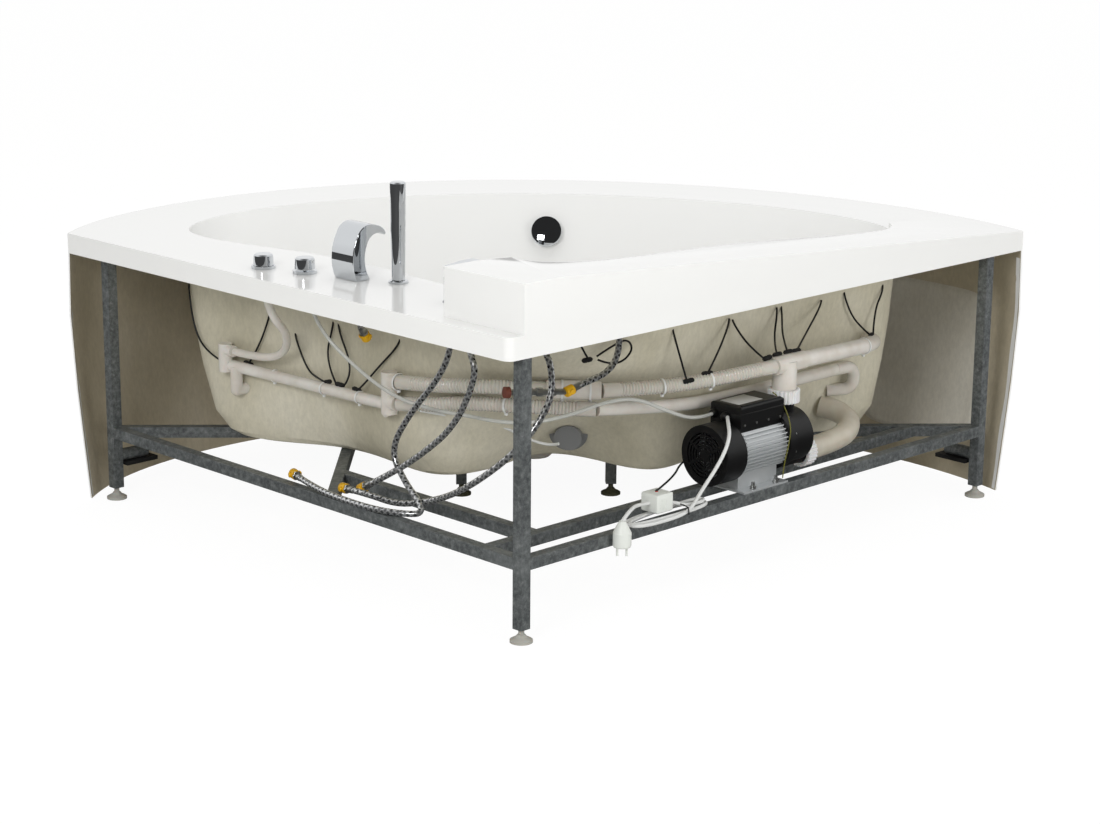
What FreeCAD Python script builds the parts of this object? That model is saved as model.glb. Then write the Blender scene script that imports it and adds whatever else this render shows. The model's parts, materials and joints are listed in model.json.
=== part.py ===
import FreeCAD, Part
import math
import os
import Sketcher

# Corner bathtub on a galvanised frame, with its taps, waste, massage jet pump and pipework.
# Most pieces are set out in the corner frame: X runs along the tap wall, minus Y runs along
# the pump wall, both from the room corner, and Z stands on the floor.  at(a, b, z) gives a
# point a millimetres along the tap wall and b millimetres along the pump wall.

os.makedirs("parts", exist_ok=True)
doc = FreeCAD.newDocument("corner_bathtub")
Vec = FreeCAD.Vector
UP = Vec(0, 0, 1)
ALONG_TAP = Vec(1, 0, 0)
ALONG_PUMP = Vec(0, -1, 0)

# ---------------------------------------------------------------- sizes, in mm and degrees
SIZES = [
    ("tap_wall_length", 1454, "rim along the wall that the taps stand at"),
    ("pump_wall_length", 1650, "rim along the wall that the pump stands at"),
    ("front_bulge", 275, "how far the front curve stands out past a straight sweep"),
    ("front_skew", 0.88, "below 1, the bulge leans to the tap side"),
    ("front_fullness", 0.9, "below 1, the curve is fuller at its ends"),
    ("rail_bottom", 148, "underside of the frame rails above the floor"),
    ("tube", 25, "outside width of the square frame tube"),
    ("tube_wall", 1.5, "wall of the square frame tube"),
    ("skin", 8, "acrylic and glass fibre wall of the bath"),
    ("skirt_skin", 6, "wall of the rim's skirt and deck"),
    ("skirt_bottom", 576, "lower edge of the rim's skirt above the floor"),
    ("deck_height", 622, "tap deck above the floor"),
    ("corner_height", 722, "raised rim above the floor at the room corner"),
    ("raised_flat", 130, "level length of the raised rim before it slopes"),
    ("raised_width", 228, "width of the raised rim from the pump wall"),
    ("ledge", 42, "narrow deck in front of the raised rim's end"),
    ("corner_round", 18, "plan radius of the room corner"),
    ("seat_gap", 0.3, "gap where curved or loose pieces rest on each other"),
    ("opening_tap_side", 246, "bowl edge from the tap wall"),
    ("opening_pump_side", 138, "bowl edge from the pump wall"),
    ("opening_corner", 306, "bowl edge from the room corner, on the diagonal"),
    ("opening_tap_end", 270, "bowl tip behind the front curve, tap end"),
    ("opening_pump_end", 268, "bowl tip behind the front curve, pump end"),
    ("opening_front", 200, "bowl edge behind the front curve"),
    ("floor_tap_side", 286, "bowl wall from the tap wall, at the floor"),
    ("floor_pump_side", 262, "bowl wall from the pump wall, at the floor"),
    ("floor_corner", 715, "bowl wall from the room corner, at the floor"),
    ("floor_tap_end", 440, "bowl tip behind the front curve, tap end, at the floor"),
    ("floor_pump_end", 370, "bowl tip behind the front curve, pump end, at the floor"),
    ("floor_front", 400, "bowl wall behind the front curve, at the floor"),
    ("floor_round", 52, "radius between the bowl's wall and its floor"),
    ("apron_bottom", 6, "lower edge of the front panel above the floor"),
    ("apron_skin", 5, "wall of the front panel"),
    ("apron_belly", 4, "how far the panel swells past the rim"),
    ("apron_tuck", 52, "how far the panel's foot is drawn in"),
    ("leg_from_pump_wall", 19, "leg centres from the pump wall"),
    ("leg_from_tap_wall", 55.3, "leg centres from the tap wall"),
    ("tap_end_leg", 1376, "far leg on the tap wall"),
    ("pump_end_leg", 1537.6, "far leg on the pump wall"),
    ("inner_pump_rail", 124, "inner rail from the pump wall"),
    ("inner_tap_rail", 197, "inner rail from the tap wall"),
    ("cross_rail_foot", 595, "where the cross rail leaves the tap wall rail"),
    ("front_leg_one", 835, "front leg nearest the taps, along the tap wall"),
    ("front_leg_two", 598, "front leg nearest the pump, along the tap wall"),
    ("leg_bottom", 27, "lower end of the legs above the floor"),
    ("foot_width", 46, "levelling foot pad"),
    ("foot_pad", 7, "levelling foot pad thickness"),
    ("foot_stem", 12, "levelling foot thread"),
    ("foot_reach", 60, "top of the levelling thread above the floor"),
    ("thread_play", 0.05, "radial play of threads, shafts and spindles"),
    ("knob_width", 42, "deck knobs"),
    ("knob_height", 24, "deck knobs above their collars"),
    ("collar_width", 52, "chrome collars of the deck knobs"),
    ("collar_height", 6, "chrome collars of the deck knobs"),
    ("stem_width", 20, "threaded necks below the deck fittings"),
    ("stem_drop", 40, "threaded necks below the deck"),
    ("knob_one", 842, "air knob along the tap wall"),
    ("knob_one_in", 81, "air knob from the tap wall"),
    ("knob_spacing", 101, "pump button from the air knob, along the tap wall"),
    ("knob_two_in", 112, "pump button from the tap wall"),
    ("spout_at", 628, "spout along the tap wall"),
    ("spout_in", 146, "spout from the tap wall"),
    ("spout_width", 70, "waterfall spout"),
    ("spout_height", 118, "waterfall spout"),
    ("spout_reach", 82, "waterfall spout from its back to its lip"),
    ("spout_base", 34, "waterfall spout's base, back to front"),
    ("shower_at", 531, "hand shower along the tap wall"),
    ("shower_in", 190, "hand shower from the tap wall"),
    ("shower_width", 33, "hand shower at its top"),
    ("shower_foot", 28, "hand shower at its foot"),
    ("shower_length", 212, "hand shower above the deck"),
    ("shower_seat", 40, "hand shower inside its holder"),
    ("mixer_at", 313, "mixer along the tap wall"),
    ("mixer_in", 150, "mixer from the tap wall"),
    ("mixer_width", 46, "mixer body"),
    ("mixer_height", 54, "mixer body above the deck"),
    ("lever_length", 78, "mixer lever"),
    ("overflow_height", 530, "overflow knob above the floor"),
    ("overflow_angle", 46.6, "overflow's bearing from the tap wall"),
    ("overflow_width", 76, "overflow knob"),
    ("overflow_depth", 22, "overflow knob"),
    ("spindle", 8, "overflow spindle"),
    ("waste_reach", 1200, "waste from the room corner"),
    ("waste_width", 70, "waste flange"),
    ("waste_pipe", 40, "waste outlet pipe"),
    ("waste_outlet_length", 60, "waste outlet pipe past the trap"),
    ("trap_width", 88, "trap pot"),
    ("trap_bottom", 62, "trap pot above the floor"),
    ("motor_from_wall", 71, "pump axis from the pump wall"),
    ("motor_start", 640, "fan cover's face along the pump wall"),
    ("motor_radius", 64, "pump motor over its fins"),
    ("motor_shell", 56, "pump motor below its fins"),
    ("motor_lift", 84, "pump axis above the rails"),
    ("fan_cover_length", 62, "fan cover"),
    ("fan_cover_wall", 2.5, "fan cover"),
    ("motor_length", 140, "finned motor body"),
    ("fin_count", 44, "cooling fins"),
    ("fin_thickness", 2, "cooling fins"),
    ("base_width", 122, "pump base across the rails"),
    ("base_length", 142, "pump base along the rails"),
    ("base_thickness", 4, "pump base plate"),
    ("volute_length", 83, "pump casing"),
    ("volute_radius", 67, "pump casing"),
    ("volute_wall", 5, "pump casing"),
    ("port_radius", 23, "pump ports"),
    ("inlet_length", 34, "pump inlet nozzle"),
    ("inlet_drop", 48, "pump inlet below the motor axis"),
    ("outlet_back", 50, "pump outlet behind the casing's rear face"),
    ("outlet_rise", 22, "pump outlet nozzle above its casing"),
    ("shaft", 14, "motor shaft"),
    ("union_radius", 35, "union nuts"),
    ("union_length", 30, "union nuts"),
    ("box_length", 138, "terminal box along the motor"),
    ("box_width", 86, "terminal box across the motor"),
    ("box_height", 42, "terminal box"),
    ("hose_radius", 16, "ribbed hoses"),
    ("hose_bore", 12.5, "ribbed hoses inside"),
    ("rib_pitch", 5.5, "ribbed hoses"),
    ("manifold_radius", 13, "rigid air and water pipe"),
    ("lamp_radius", 30, "lamp housing"),
    ("lamp_depth", 26, "lamp housing"),
    ("braided_radius", 6.5, "braided supply hoses"),
    ("lead_radius", 2.2, "thin black light leads"),
    ("mains_radius", 4, "mains lead"),
    ("lamp_cable_radius", 3.2, "lamp cable"),
]

sheet = doc.addObject("Spreadsheet::Sheet", "Sizes")
for row, (alias, value, words) in enumerate(SIZES, start=1):
    sheet.set("A%d" % row, words)
    sheet.set("B%d" % row, str(value))
    sheet.setAlias("B%d" % row, alias)
doc.recompute()


def mm(alias):
    return float(sheet.get(alias))


def cell(alias):
    return "Sizes." + alias


SKIN = mm("skin")
SKIRT = mm("skirt_skin")
GAP = mm("seat_gap")
TUBE = mm("tube")
RAIL_LOW = mm("rail_bottom")
RAIL_TOP = RAIL_LOW + TUBE
DECK = mm("deck_height")
DECK_UNDER = DECK - SKIRT
PLAY = mm("thread_play")
BOWL_LOW = RAIL_TOP + GAP


def at(a, b, z):
    return Vec(a, -b, z)


# ---------------------------------------------------------------- plan curves and lofts
FRONT_ANGLES = [0, 7, 15, 24, 33, 42, 51, 60, 69, 77, 84, 90]


def front_reach(angle):
    """Front curve's distance from the room corner: a straight sweep between the two wall
    lengths, plus a bulge shaped as a skewed sine."""
    share = angle / 90.0
    straight = mm("tap_wall_length") + (mm("pump_wall_length") - mm("tap_wall_length")) * share
    swell = max(math.sin(math.pi * share ** mm("front_skew")), 0.0) ** mm("front_fullness")
    return straight + mm("front_bulge") * swell


def on_front(angle, inset, z):
    reach = front_reach(angle) - inset
    turn = math.radians(angle)
    return at(reach * math.cos(turn), reach * math.sin(turn), z)


def spline(points, closed=False):
    curve = Part.BSplineCurve()
    curve.interpolate(Points=points, PeriodicFlag=closed)
    return curve.toShape()


def rim_wire(z, wall_inset, front_inset, corner_round=0.0):
    """Outline of the bath on the floor plan: the two walls and the front curve."""
    front = []
    for angle in FRONT_ANGLES:
        point = on_front(angle, front_inset, z)
        front.append(point)
    front[0] = Vec(front[0].x, -wall_inset, z)
    front[-1] = Vec(wall_inset, front[-1].y, z)
    edges = []
    if corner_round > 0:
        near_tap = at(wall_inset + corner_round, wall_inset, z)
        near_pump = at(wall_inset, wall_inset + corner_round, z)
        cut_in = wall_inset + corner_round * (1 - math.sqrt(0.5))
        edges.append(Part.Arc(near_pump, at(cut_in, cut_in, z), near_tap).toShape())
    else:
        near_tap = at(wall_inset, wall_inset, z)
        near_pump = near_tap
    edges.append(Part.LineSegment(near_tap, front[0]).toShape())
    edges.append(spline(front))
    edges.append(Part.LineSegment(front[-1], near_pump).toShape())
    return Part.Wire(edges)


def largest(shape):
    return max(shape.Solids, key=lambda solid: solid.Volume)


def prism(wire, height):
    return Part.Face(wire).extrude(Vec(0, 0, height))


def ceiling(b):
    """Top of the raised rim above a place on the pump wall: level, then sloping to the deck."""
    past_flat = max(b - mm("raised_flat"), 0.0)
    run = mm("pump_wall_length") - mm("raised_flat")
    return mm("corner_height") - (mm("corner_height") - DECK) * past_flat / run


def raised_block(inset, low):
    """Wedge under the raised rim, drawn in by a wall's thickness."""
    start = mm("ledge") + inset
    end = mm("pump_wall_length") + 40
    outline = [at(inset, start, low), at(inset, start, ceiling(start) - inset),
               at(inset, mm("raised_flat"), mm("corner_height") - inset),
               at(inset, end, ceiling(end) - inset), at(inset, end, low)]
    face = Part.Face(Part.makePolygon(outline + outline[:1]))
    return face.extrude(Vec(mm("raised_width") - 2 * inset, 0, 0))


def inset_at(name, depth_share, curve):
    top = mm("opening_" + name)
    return top + (mm("floor_" + name) - top) * depth_share ** curve


def bowl_wire(z, grow, floor_z):
    """One level ring of the bowl.  Insets grow with depth, the sides slowly and then fast,
    and near the floor a quarter round draws the ring in."""
    depth_share = min(max((DECK - z) / (DECK - floor_z), 0.0), 1.0)
    radius = mm("floor_round")
    above_floor = z - floor_z
    tuck = 0.0
    if above_floor < radius:
        tuck = radius - math.sqrt(max(radius ** 2 - (radius - above_floor) ** 2, 0.0))
    more = tuck + grow
    tap_side = inset_at("tap_side", depth_share, 2.5) + more
    pump_side = inset_at("pump_side", depth_share, 1.4) + more
    corner = inset_at("corner", depth_share, 1.0) + more
    front = inset_at("front", depth_share, 1.0) + more
    tap_end = on_front(9.7, inset_at("tap_end", depth_share, 2.0) + more, z) + at(0, more, 0)
    pump_end = on_front(82.0, inset_at("pump_end", depth_share, 2.0) + more, z) + at(more, 0, 0)
    corner_in = corner * math.sqrt(0.5)
    points = [at(corner_in, corner_in, z)]
    for share in (0.33, 0.66):
        points.append(at(pump_side + (tap_end.x - pump_side) * share, tap_side, z))
    points.append(tap_end)
    for angle in (19, 29, 39, 50, 61, 72):
        points.append(on_front(angle, front, z))
    points.append(pump_end)
    for share in (0.7, 0.36):
        points.append(at(pump_side, tap_side + (-pump_end.y - tap_side) * share, z))
    return Part.Wire([spline(points, closed=True)])


def bowl(grow, floor_z, top_z):
    radius = mm("floor_round")
    levels = [floor_z, floor_z + 0.08 * radius, floor_z + 0.3 * radius, floor_z + radius]
    step = (DECK - levels[-1]) / 4.0
    levels += [levels[3] + step * count for count in (1, 2, 3, 4)]
    levels.append(top_z)
    rings = [bowl_wire(level, grow, floor_z) for level in levels]
    return Part.makeLoft(rings, True, True)


# ---------------------------------------------------------------- document helpers
PARTS = []
CORNER = FreeCAD.Placement()


def keep(obj, node):
    obj.Label = node
    PARTS.append(obj)
    return obj


def feature(node, shape):
    """A piece whose outline is a free curve, in the corner frame."""
    obj = doc.addObject("Part::Feature", node)
    obj.Shape = shape
    obj.Placement = CORNER
    return keep(obj, node)


def origin_plane(body, role):
    for item in body.Origin.OriginFeatures:
        if item.Role == role:
            return item
    raise ValueError(role)


def new_body(node):
    return doc.addObject("PartDesign::Body", node)


def new_sketch(body, role, name):
    sketch = body.newObject("Sketcher::SketchObject", name)
    sketch.AttachmentSupport = [(origin_plane(body, role), "")]
    sketch.MapMode = "FlatFace"
    return sketch


def centred_square(sketch, width_expression):
    """A square about the sketch's origin, with its width bound to an expression."""
    corners = [(-1, -1), (1, -1), (1, 1), (-1, 1)]
    first = sketch.GeometryCount
    for index in range(4):
        start = corners[index]
        end = corners[(index + 1) % 4]
        line = Part.LineSegment(Vec(10 * start[0], 10 * start[1], 0),
                                Vec(10 * end[0], 10 * end[1], 0))
        sketch.addGeometry(line, False)
    for index in range(4):
        join = Sketcher.Constraint("Coincident", first + index, 2, first + (index + 1) % 4, 1)
        sketch.addConstraint(join)
    sketch.addConstraint(Sketcher.Constraint("Horizontal", first))
    sketch.addConstraint(Sketcher.Constraint("Horizontal", first + 2))
    sketch.addConstraint(Sketcher.Constraint("Vertical", first + 1))
    sketch.addConstraint(Sketcher.Constraint("Vertical", first + 3))
    sketch.addConstraint(Sketcher.Constraint("Symmetric", first, 1, first + 1, 2, -1, 1))
    wide = sketch.addConstraint(Sketcher.Constraint("DistanceX", first, 1, first, 2, 20))
    tall = sketch.addConstraint(Sketcher.Constraint("DistanceY", first + 1, 1, first + 1, 2, 20))
    sketch.setExpression("Constraints[%d]" % wide, width_expression)
    sketch.setExpression("Constraints[%d]" % tall, width_expression)


def centred_circle(sketch, radius_expression):
    index = sketch.addGeometry(Part.Circle(Vec(0, 0, 0), UP, 5), False)
    sketch.addConstraint(Sketcher.Constraint("Coincident", index, 3, -1, 1))
    radius = sketch.addConstraint(Sketcher.Constraint("Radius", index, 5))
    sketch.setExpression("Constraints[%d]" % radius, radius_expression)


def pad(body, sketch, name, length_expression, reverse=False):
    item = body.newObject("PartDesign::Pad", name)
    item.Profile = sketch
    item.setExpression("Length", length_expression)
    item.Reversed = reverse
    sketch.Visibility = False
    return item


def turned(node, outline, place):
    """A turned piece: its half outline (radius, height) revolved about its own axis."""
    body = new_body(node)
    sketch = new_sketch(body, "XZ_Plane", node + "_outline")
    last = len(outline)
    for index in range(last):
        start = outline[index]
        end = outline[(index + 1) % last]
        line = Part.LineSegment(Vec(start[0], start[1], 0), Vec(end[0], end[1], 0))
        sketch.addGeometry(line, False)
    for index in range(last):
        join = Sketcher.Constraint("Coincident", index, 2, (index + 1) % last, 1)
        sketch.addConstraint(join)
    spin = body.newObject("PartDesign::Revolution", node + "_turned")
    spin.Profile = sketch
    spin.ReferenceAxis = (sketch, ["V_Axis"])
    spin.Angle = 360
    body.Placement = place
    return body


def disc(centre, axis, radius, length):
    return Part.makeCylinder(radius, length, centre, axis)


def box_between(low, high):
    corner = Vec(min(low.x, high.x), min(low.y, high.y), min(low.z, high.z))
    return Part.makeBox(abs(high.x - low.x), abs(high.y - low.y), abs(high.z - low.z), corner)


def stand(a, b, z, axis=UP):
    """Placement of a piece modelled upright at its own origin."""
    return CORNER.multiply(FreeCAD.Placement(at(a, b, z), FreeCAD.Rotation(UP, axis)))


# ---------------------------------------------------------------- routes of hoses and leads
def rounded_path(points):
    """Straight runs joined by tangent arcs, each as large as its two runs allow."""
    edges = []
    radii = []
    here = points[0]
    for index in range(1, len(points) - 1):
        corner = points[index]
        back = points[index - 1] - corner
        ahead = points[index + 1] - corner
        turn = math.pi - back.getAngle(ahead)
        if turn < 0.01:
            continue
        shorter = min(back.Length, ahead.Length)
        trim = 0.45 * shorter
        radius = trim / math.tan(turn / 2)
        radii.append(radius)
        back.normalize()
        ahead.normalize()
        start = corner + back * trim
        end = corner + ahead * trim
        inward = (back + ahead).normalize()
        middle = corner + inward * (radius / math.cos(turn / 2) - radius)
        edges.append(Part.LineSegment(here, start).toShape())
        edges.append(Part.Arc(start, middle, end).toShape())
        here = end
    edges.append(Part.LineSegment(here, points[-1]).toShape())
    return Part.Wire(edges), radii


def swept(path, radius):
    start = path.Edges[0].valueAt(path.Edges[0].FirstParameter)
    tangent = path.Edges[0].tangentAt(path.Edges[0].FirstParameter)
    ring = Part.Wire([Part.Circle(start, tangent, radius).toShape()])
    return path.makePipeShell([ring], True, False)


def tube(name, places, radius):
    points = [at(*place) for place in places]
    path, radii = rounded_path(points)
    solid = swept(path, radius)
    expected = math.pi * radius ** 2 * path.Length
    tightest = min(radii) if radii else 0
    print("%s length %.0f, tightest radius %.0f, volume share %.3f"
          % (name, path.Length, tightest, solid.Volume / expected))
    return solid


def stations(path, pitch):
    """Evenly spaced points and directions along a path."""
    count = max(int(path.Length / pitch), 2)
    curve = []
    lengths = [edge.Length for edge in path.Edges]
    for index in range(count + 1):
        left = path.Length * index / count
        number = 0
        while left > lengths[number] and number < len(lengths) - 1:
            left -= lengths[number]
            number += 1
        edge = path.Edges[number]
        share = edge.getParameterByLength(min(left, lengths[number]))
        curve.append((edge.valueAt(share), edge.tangentAt(share)))
    return curve


def ribbed(name, places, radius, bore):
    """A ribbed hose: straight cuffs at its ends, ribs as a ruled loft of rings, and its bore."""
    path, radii = rounded_path([at(*place) for place in places])
    pitch = mm("rib_pitch")
    rings = []
    previous = None
    marks = stations(path, pitch / 4.0)
    cuff = int(2.2 * radius / (pitch / 4.0))
    for index, (centre, direction) in enumerate(marks):
        if cuff < index < len(marks) - 1 - cuff:
            depth = 0.0 if index % 4 in (0, 1) else 0.09 * radius
        elif index in (0, cuff, len(marks) - 1 - cuff, len(marks) - 1):
            depth = 0.0
        else:
            continue
        side = direction.cross(UP) if previous is None else direction.cross(previous.cross(direction))
        side.normalize()
        previous = side
        frame = Part.Circle(centre, direction, radius - depth)
        frame.XAxis = side
        rings.append(Part.Wire([frame.toShape()]))
    body = Part.makeLoft(rings, True, True)
    solid = body.cut(swept(path, bore))
    print("%s length %.0f, ribs %d, tightest radius %.0f"
          % (name, path.Length, (len(rings) - 4) // 4, min(radii)))
    return solid


# ---------------------------------------------------------------- bath shell and front panel
slab = prism(rim_wire(mm("skirt_bottom"), 0, 0, mm("corner_round")), DECK - mm("skirt_bottom"))
slab_hollow = prism(rim_wire(mm("skirt_bottom") - 5, SKIRT, SKIRT, mm("corner_round") - SKIRT),
                    DECK_UNDER - mm("skirt_bottom") + 5)
plan = prism(rim_wire(500, 0, 0, mm("corner_round")), 400)
block = raised_block(0, mm("skirt_bottom")).common(plan)
block_hollow = raised_block(SKIRT, mm("skirt_bottom") - 5)
block_hollow = block_hollow.common(prism(rim_wire(500, SKIRT, SKIRT), 400))
bowl_outside = bowl(0, BOWL_LOW, mm("corner_height") + 20)
bowl_inside = bowl(SKIN, BOWL_LOW + SKIN, mm("corner_height") + 30)
far = 2 * mm("pump_wall_length")
below_deck = Part.makeBox(far, far, mm("skirt_bottom") + 10, Vec(-50, 50 - far, 0))
solid_rim = slab.fuse(block)
envelope = solid_rim.fuse(below_deck)
rim_shell = solid_rim.cut(slab_hollow.fuse(block_hollow))
shell = rim_shell.fuse(bowl_outside.common(envelope)).cut(bowl_inside)

overflow_turn = math.radians(mm("overflow_angle"))
waste_a = mm("waste_reach") * math.cos(overflow_turn)
waste_b = mm("waste_reach") * math.sin(overflow_turn)
NECK = mm("stem_width") / 2
KNOB_TWO = mm("knob_one") - mm("knob_spacing")
deck_holes = [(mm("knob_one"), mm("knob_one_in"), NECK), (KNOB_TWO, mm("knob_two_in"), NECK),
              (mm("spout_at"), mm("spout_in"), NECK), (mm("mixer_at"), mm("mixer_in"), 17),
              (mm("shower_at"), mm("shower_in"), 17)]
for hole_a, hole_b, radius in deck_holes:
    shell = shell.cut(disc(at(hole_a, hole_b, DECK - 20), UP, radius + GAP, 40))
WASTE_NECK = 24.0
shell = shell.cut(disc(at(waste_a, waste_b, BOWL_LOW - 5), UP, WASTE_NECK + GAP, SKIN + 10))


def wall_seat(a, b, z, direction, solid):
    """Where a line leaves a solid: the place on a wall that a fitting sits on."""
    start = at(a, b, z)
    line = Part.LineSegment(start, start + direction * 2000).toShape()
    hit = line.common(solid)
    ends = [vertex.Point for vertex in hit.Vertexes]
    return min(ends, key=lambda point: (point - start).Length)


overflow_out = Vec(math.cos(overflow_turn), -math.sin(overflow_turn), 0)
overflow_axis = Vec(overflow_out.x, overflow_out.y, -0.45).normalize()
basin_middle = at(720, 780, mm("overflow_height"))
hits = Part.LineSegment(basin_middle, basin_middle + overflow_out * 1500).toShape()
overflow_wall = hits.common(bowl_inside).Vertexes
overflow_in = max((vertex.Point for vertex in overflow_wall), key=lambda p: (p - basin_middle).Length)
OVERFLOW_NECK = 16.0
shell = shell.cut(disc(overflow_in - overflow_axis * 20, overflow_axis, OVERFLOW_NECK + GAP, 60))
bath_solid = shell.removeSplitter()

apron_top = mm("skirt_bottom") - GAP
APRON_LEVELS = [(mm("apron_bottom"), mm("apron_tuck")), (130, 0.62 * mm("apron_tuck")),
                (260, 0.24 * mm("apron_tuck")), (430, -mm("apron_belly")), (apron_top, 0.5)]
apron_out = Part.makeLoft([rim_wire(z, 0, inset) for z, inset in APRON_LEVELS], True, True)
apron_in = Part.makeLoft([rim_wire(z, 0, inset + mm("apron_skin")) for z, inset in APRON_LEVELS],
                         True, True)
apron = apron_out.cut(apron_in)

# The part's origin is the middle of its outline, on the floor, and the tap wall and the pump
# wall both stand at 45 degrees to its axes.
turn_45 = FreeCAD.Rotation(UP, -45)
turned_plan = bath_solid.fuse(apron)
turned_plan.Placement = FreeCAD.Placement(Vec(), turn_45)
bounds = turned_plan.optimalBoundingBox(False, False)
CORNER = FreeCAD.Placement(Vec(-bounds.Center.x, -bounds.Center.y, 0), turn_45)
print("room corner at", CORNER.Base)
print("overflow seat", CORNER.multVec(overflow_in), "axis", turn_45.multVec(overflow_axis))
# The shell is one moulding.  It is kept as its rim and its bowl, which meet at the height of the
# skirt's lower edge.
below_skirt = Part.makeBox(far, far, mm("skirt_bottom") + 10, Vec(-50, 50 - far, -10))
feature("bath_shell", largest(bath_solid.cut(below_skirt)))
feature("bath_bowl", largest(bath_solid.common(below_skirt)))
feature("front_apron", apron)


# ---------------------------------------------------------------- frame: legs, rails and feet
def leg(node, a, b, height_expression):
    """A square tube standing on a welded end plate, threaded for its levelling foot."""
    body = new_body(node)
    wall = new_sketch(body, "XY_Plane", node + "_section")
    centred_square(wall, cell("tube"))
    centred_square(wall, "Sizes.tube - 2 * Sizes.tube_wall")
    pad(body, wall, node + "_tube", height_expression)
    plate = new_sketch(body, "XY_Plane", node + "_plate_outline")
    centred_square(plate, "Sizes.tube - 2 * Sizes.tube_wall")
    centred_circle(plate, "Sizes.foot_stem / 2 + Sizes.thread_play")
    pad(body, plate, node + "_plate", "4 * Sizes.tube_wall")
    body.Placement = stand(a, b, mm("leg_bottom"))
    return keep(body, node)


def foot(node, a, b):
    wide = mm("foot_width") / 2
    stem = mm("foot_stem") / 2
    thick = mm("foot_pad")
    outline = [(0, 0), (wide, 0), (wide, thick - 2), (wide - 5, thick + 1), (12, thick + 4),
               (stem + 2, thick + 9), (stem, thick + 10), (stem, mm("foot_reach")),
               (0, mm("foot_reach"))]
    return keep(turned(node, outline, stand(a, b, 0)), node)


def tube_between(start, end, rise=RAIL_LOW):
    """A hollow square rail between two places on the plan, its ends left square."""
    run = at(end[0], end[1], 0) - at(start[0], start[1], 0)
    outer = Part.makeBox(run.Length, TUBE, TUBE, Vec(0, -TUBE / 2, 0))
    wall = mm("tube_wall")
    inner = Part.makeBox(run.Length + 2, TUBE - 2 * wall, TUBE - 2 * wall,
                         Vec(-1, wall - TUBE / 2, wall))
    rail = outer.cut(inner)
    rail.Placement = FreeCAD.Placement(at(start[0], start[1], rise),
                                       FreeCAD.Rotation(Vec(1, 0, 0), run))
    return rail


def solid_bar(start, end, longer):
    """The outside of a rail as a solid bar, to trim the rails that meet it."""
    run = at(end[0], end[1], 0) - at(start[0], start[1], 0)
    bar = Part.makeBox(run.Length + 2 * longer, TUBE, TUBE + 2, Vec(-longer, -TUBE / 2, -1))
    bar.Placement = FreeCAD.Placement(at(start[0], start[1], RAIL_LOW),
                                      FreeCAD.Rotation(Vec(1, 0, 0), run))
    return bar


LEG_A = mm("leg_from_pump_wall")
LEG_B = mm("leg_from_tap_wall")
TAP_END = mm("tap_end_leg")
PUMP_END = mm("pump_end_leg")
HALF = TUBE / 2
LOW_TOP = "Sizes.deck_height - Sizes.skirt_skin - Sizes.seat_gap - Sizes.leg_bottom"
slope = ("(Sizes.corner_height - Sizes.deck_height) / (Sizes.pump_wall_length - Sizes.raised_flat)")
END_TOP = ("Sizes.corner_height - " + slope + " * (Sizes.pump_end_leg + Sizes.tube / 2"
           " - Sizes.raised_flat) - Sizes.skirt_skin - Sizes.seat_gap - Sizes.leg_bottom - 0.5")
leg("corner_leg", LEG_A, LEG_B, LOW_TOP)
leg("tap_end_leg", TAP_END, LEG_B, LOW_TOP)
leg("pump_end_leg", LEG_A, PUMP_END, END_TOP)

chord_start = (TAP_END, LEG_B)
chord_end = (LEG_A, PUMP_END)
leg_posts = [solid_bar((LEG_A - HALF, LEG_B), (LEG_A + HALF, LEG_B), 0),
             solid_bar((TAP_END - HALF, LEG_B), (TAP_END + HALF, LEG_B), 0),
             solid_bar((LEG_A - HALF, PUMP_END), (LEG_A + HALF, PUMP_END), 0)]
tap_bar = solid_bar((LEG_A, LEG_B), (TAP_END, LEG_B), 0)
pump_bar = solid_bar((LEG_A, LEG_B), (LEG_A, PUMP_END), 0)
chord_bar = solid_bar(chord_start, chord_end, 0)


def chord_b(a):
    share = (TAP_END - a) / (TAP_END - LEG_A)
    return LEG_B + share * (PUMP_END - LEG_B)


def straight_rail(node, a, b, direction, length_expression):
    body = new_body(node)
    wall = new_sketch(body, "XY_Plane", node + "_section")
    centred_square(wall, cell("tube"))
    centred_square(wall, "Sizes.tube - 2 * Sizes.tube_wall")
    pad(body, wall, node + "_tube", length_expression)
    body.Placement = stand(a, b, RAIL_LOW + HALF, direction)
    return keep(body, node)


straight_rail("tap_wall_rail", LEG_A + HALF, LEG_B, ALONG_TAP,
              "Sizes.tap_end_leg - Sizes.leg_from_pump_wall - Sizes.tube")
straight_rail("pump_wall_rail", LEG_A, LEG_B + HALF, ALONG_PUMP,
              "Sizes.pump_end_leg - Sizes.leg_from_tap_wall - Sizes.tube")
chord = tube_between(chord_start, chord_end)
chord = chord.cut(tap_bar.fuse(pump_bar).fuse(leg_posts))
feature("chord_rail", largest(chord))
PUMP_RAIL = mm("inner_pump_rail")
TAP_RAIL = mm("inner_tap_rail")
inner_pump = tube_between((PUMP_RAIL, LEG_B + HALF), (PUMP_RAIL, chord_b(PUMP_RAIL) + 60))
feature("inner_pump_rail", largest(inner_pump.cut(chord_bar)))
CROSS = mm("cross_rail_foot")
PAST_CHORD = 900
cross_start = (CROSS - 40, LEG_B - 40)
cross_end = (CROSS + PAST_CHORD, LEG_B + PAST_CHORD)
cross = tube_between(cross_start, cross_end).cut(tap_bar).cut(chord_bar)
middle_cross = at(CROSS + 200, LEG_B + 200, RAIL_LOW + HALF)
cross_piece = min(cross.Solids, key=lambda solid: (solid.CenterOfMass - middle_cross).Length)
feature("cross_rail", cross_piece)
cross_bar = solid_bar(cross_start, cross_end, 0)
inner_tap = tube_between((PUMP_RAIL + HALF, TAP_RAIL), (CROSS + TAP_RAIL, TAP_RAIL))
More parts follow.
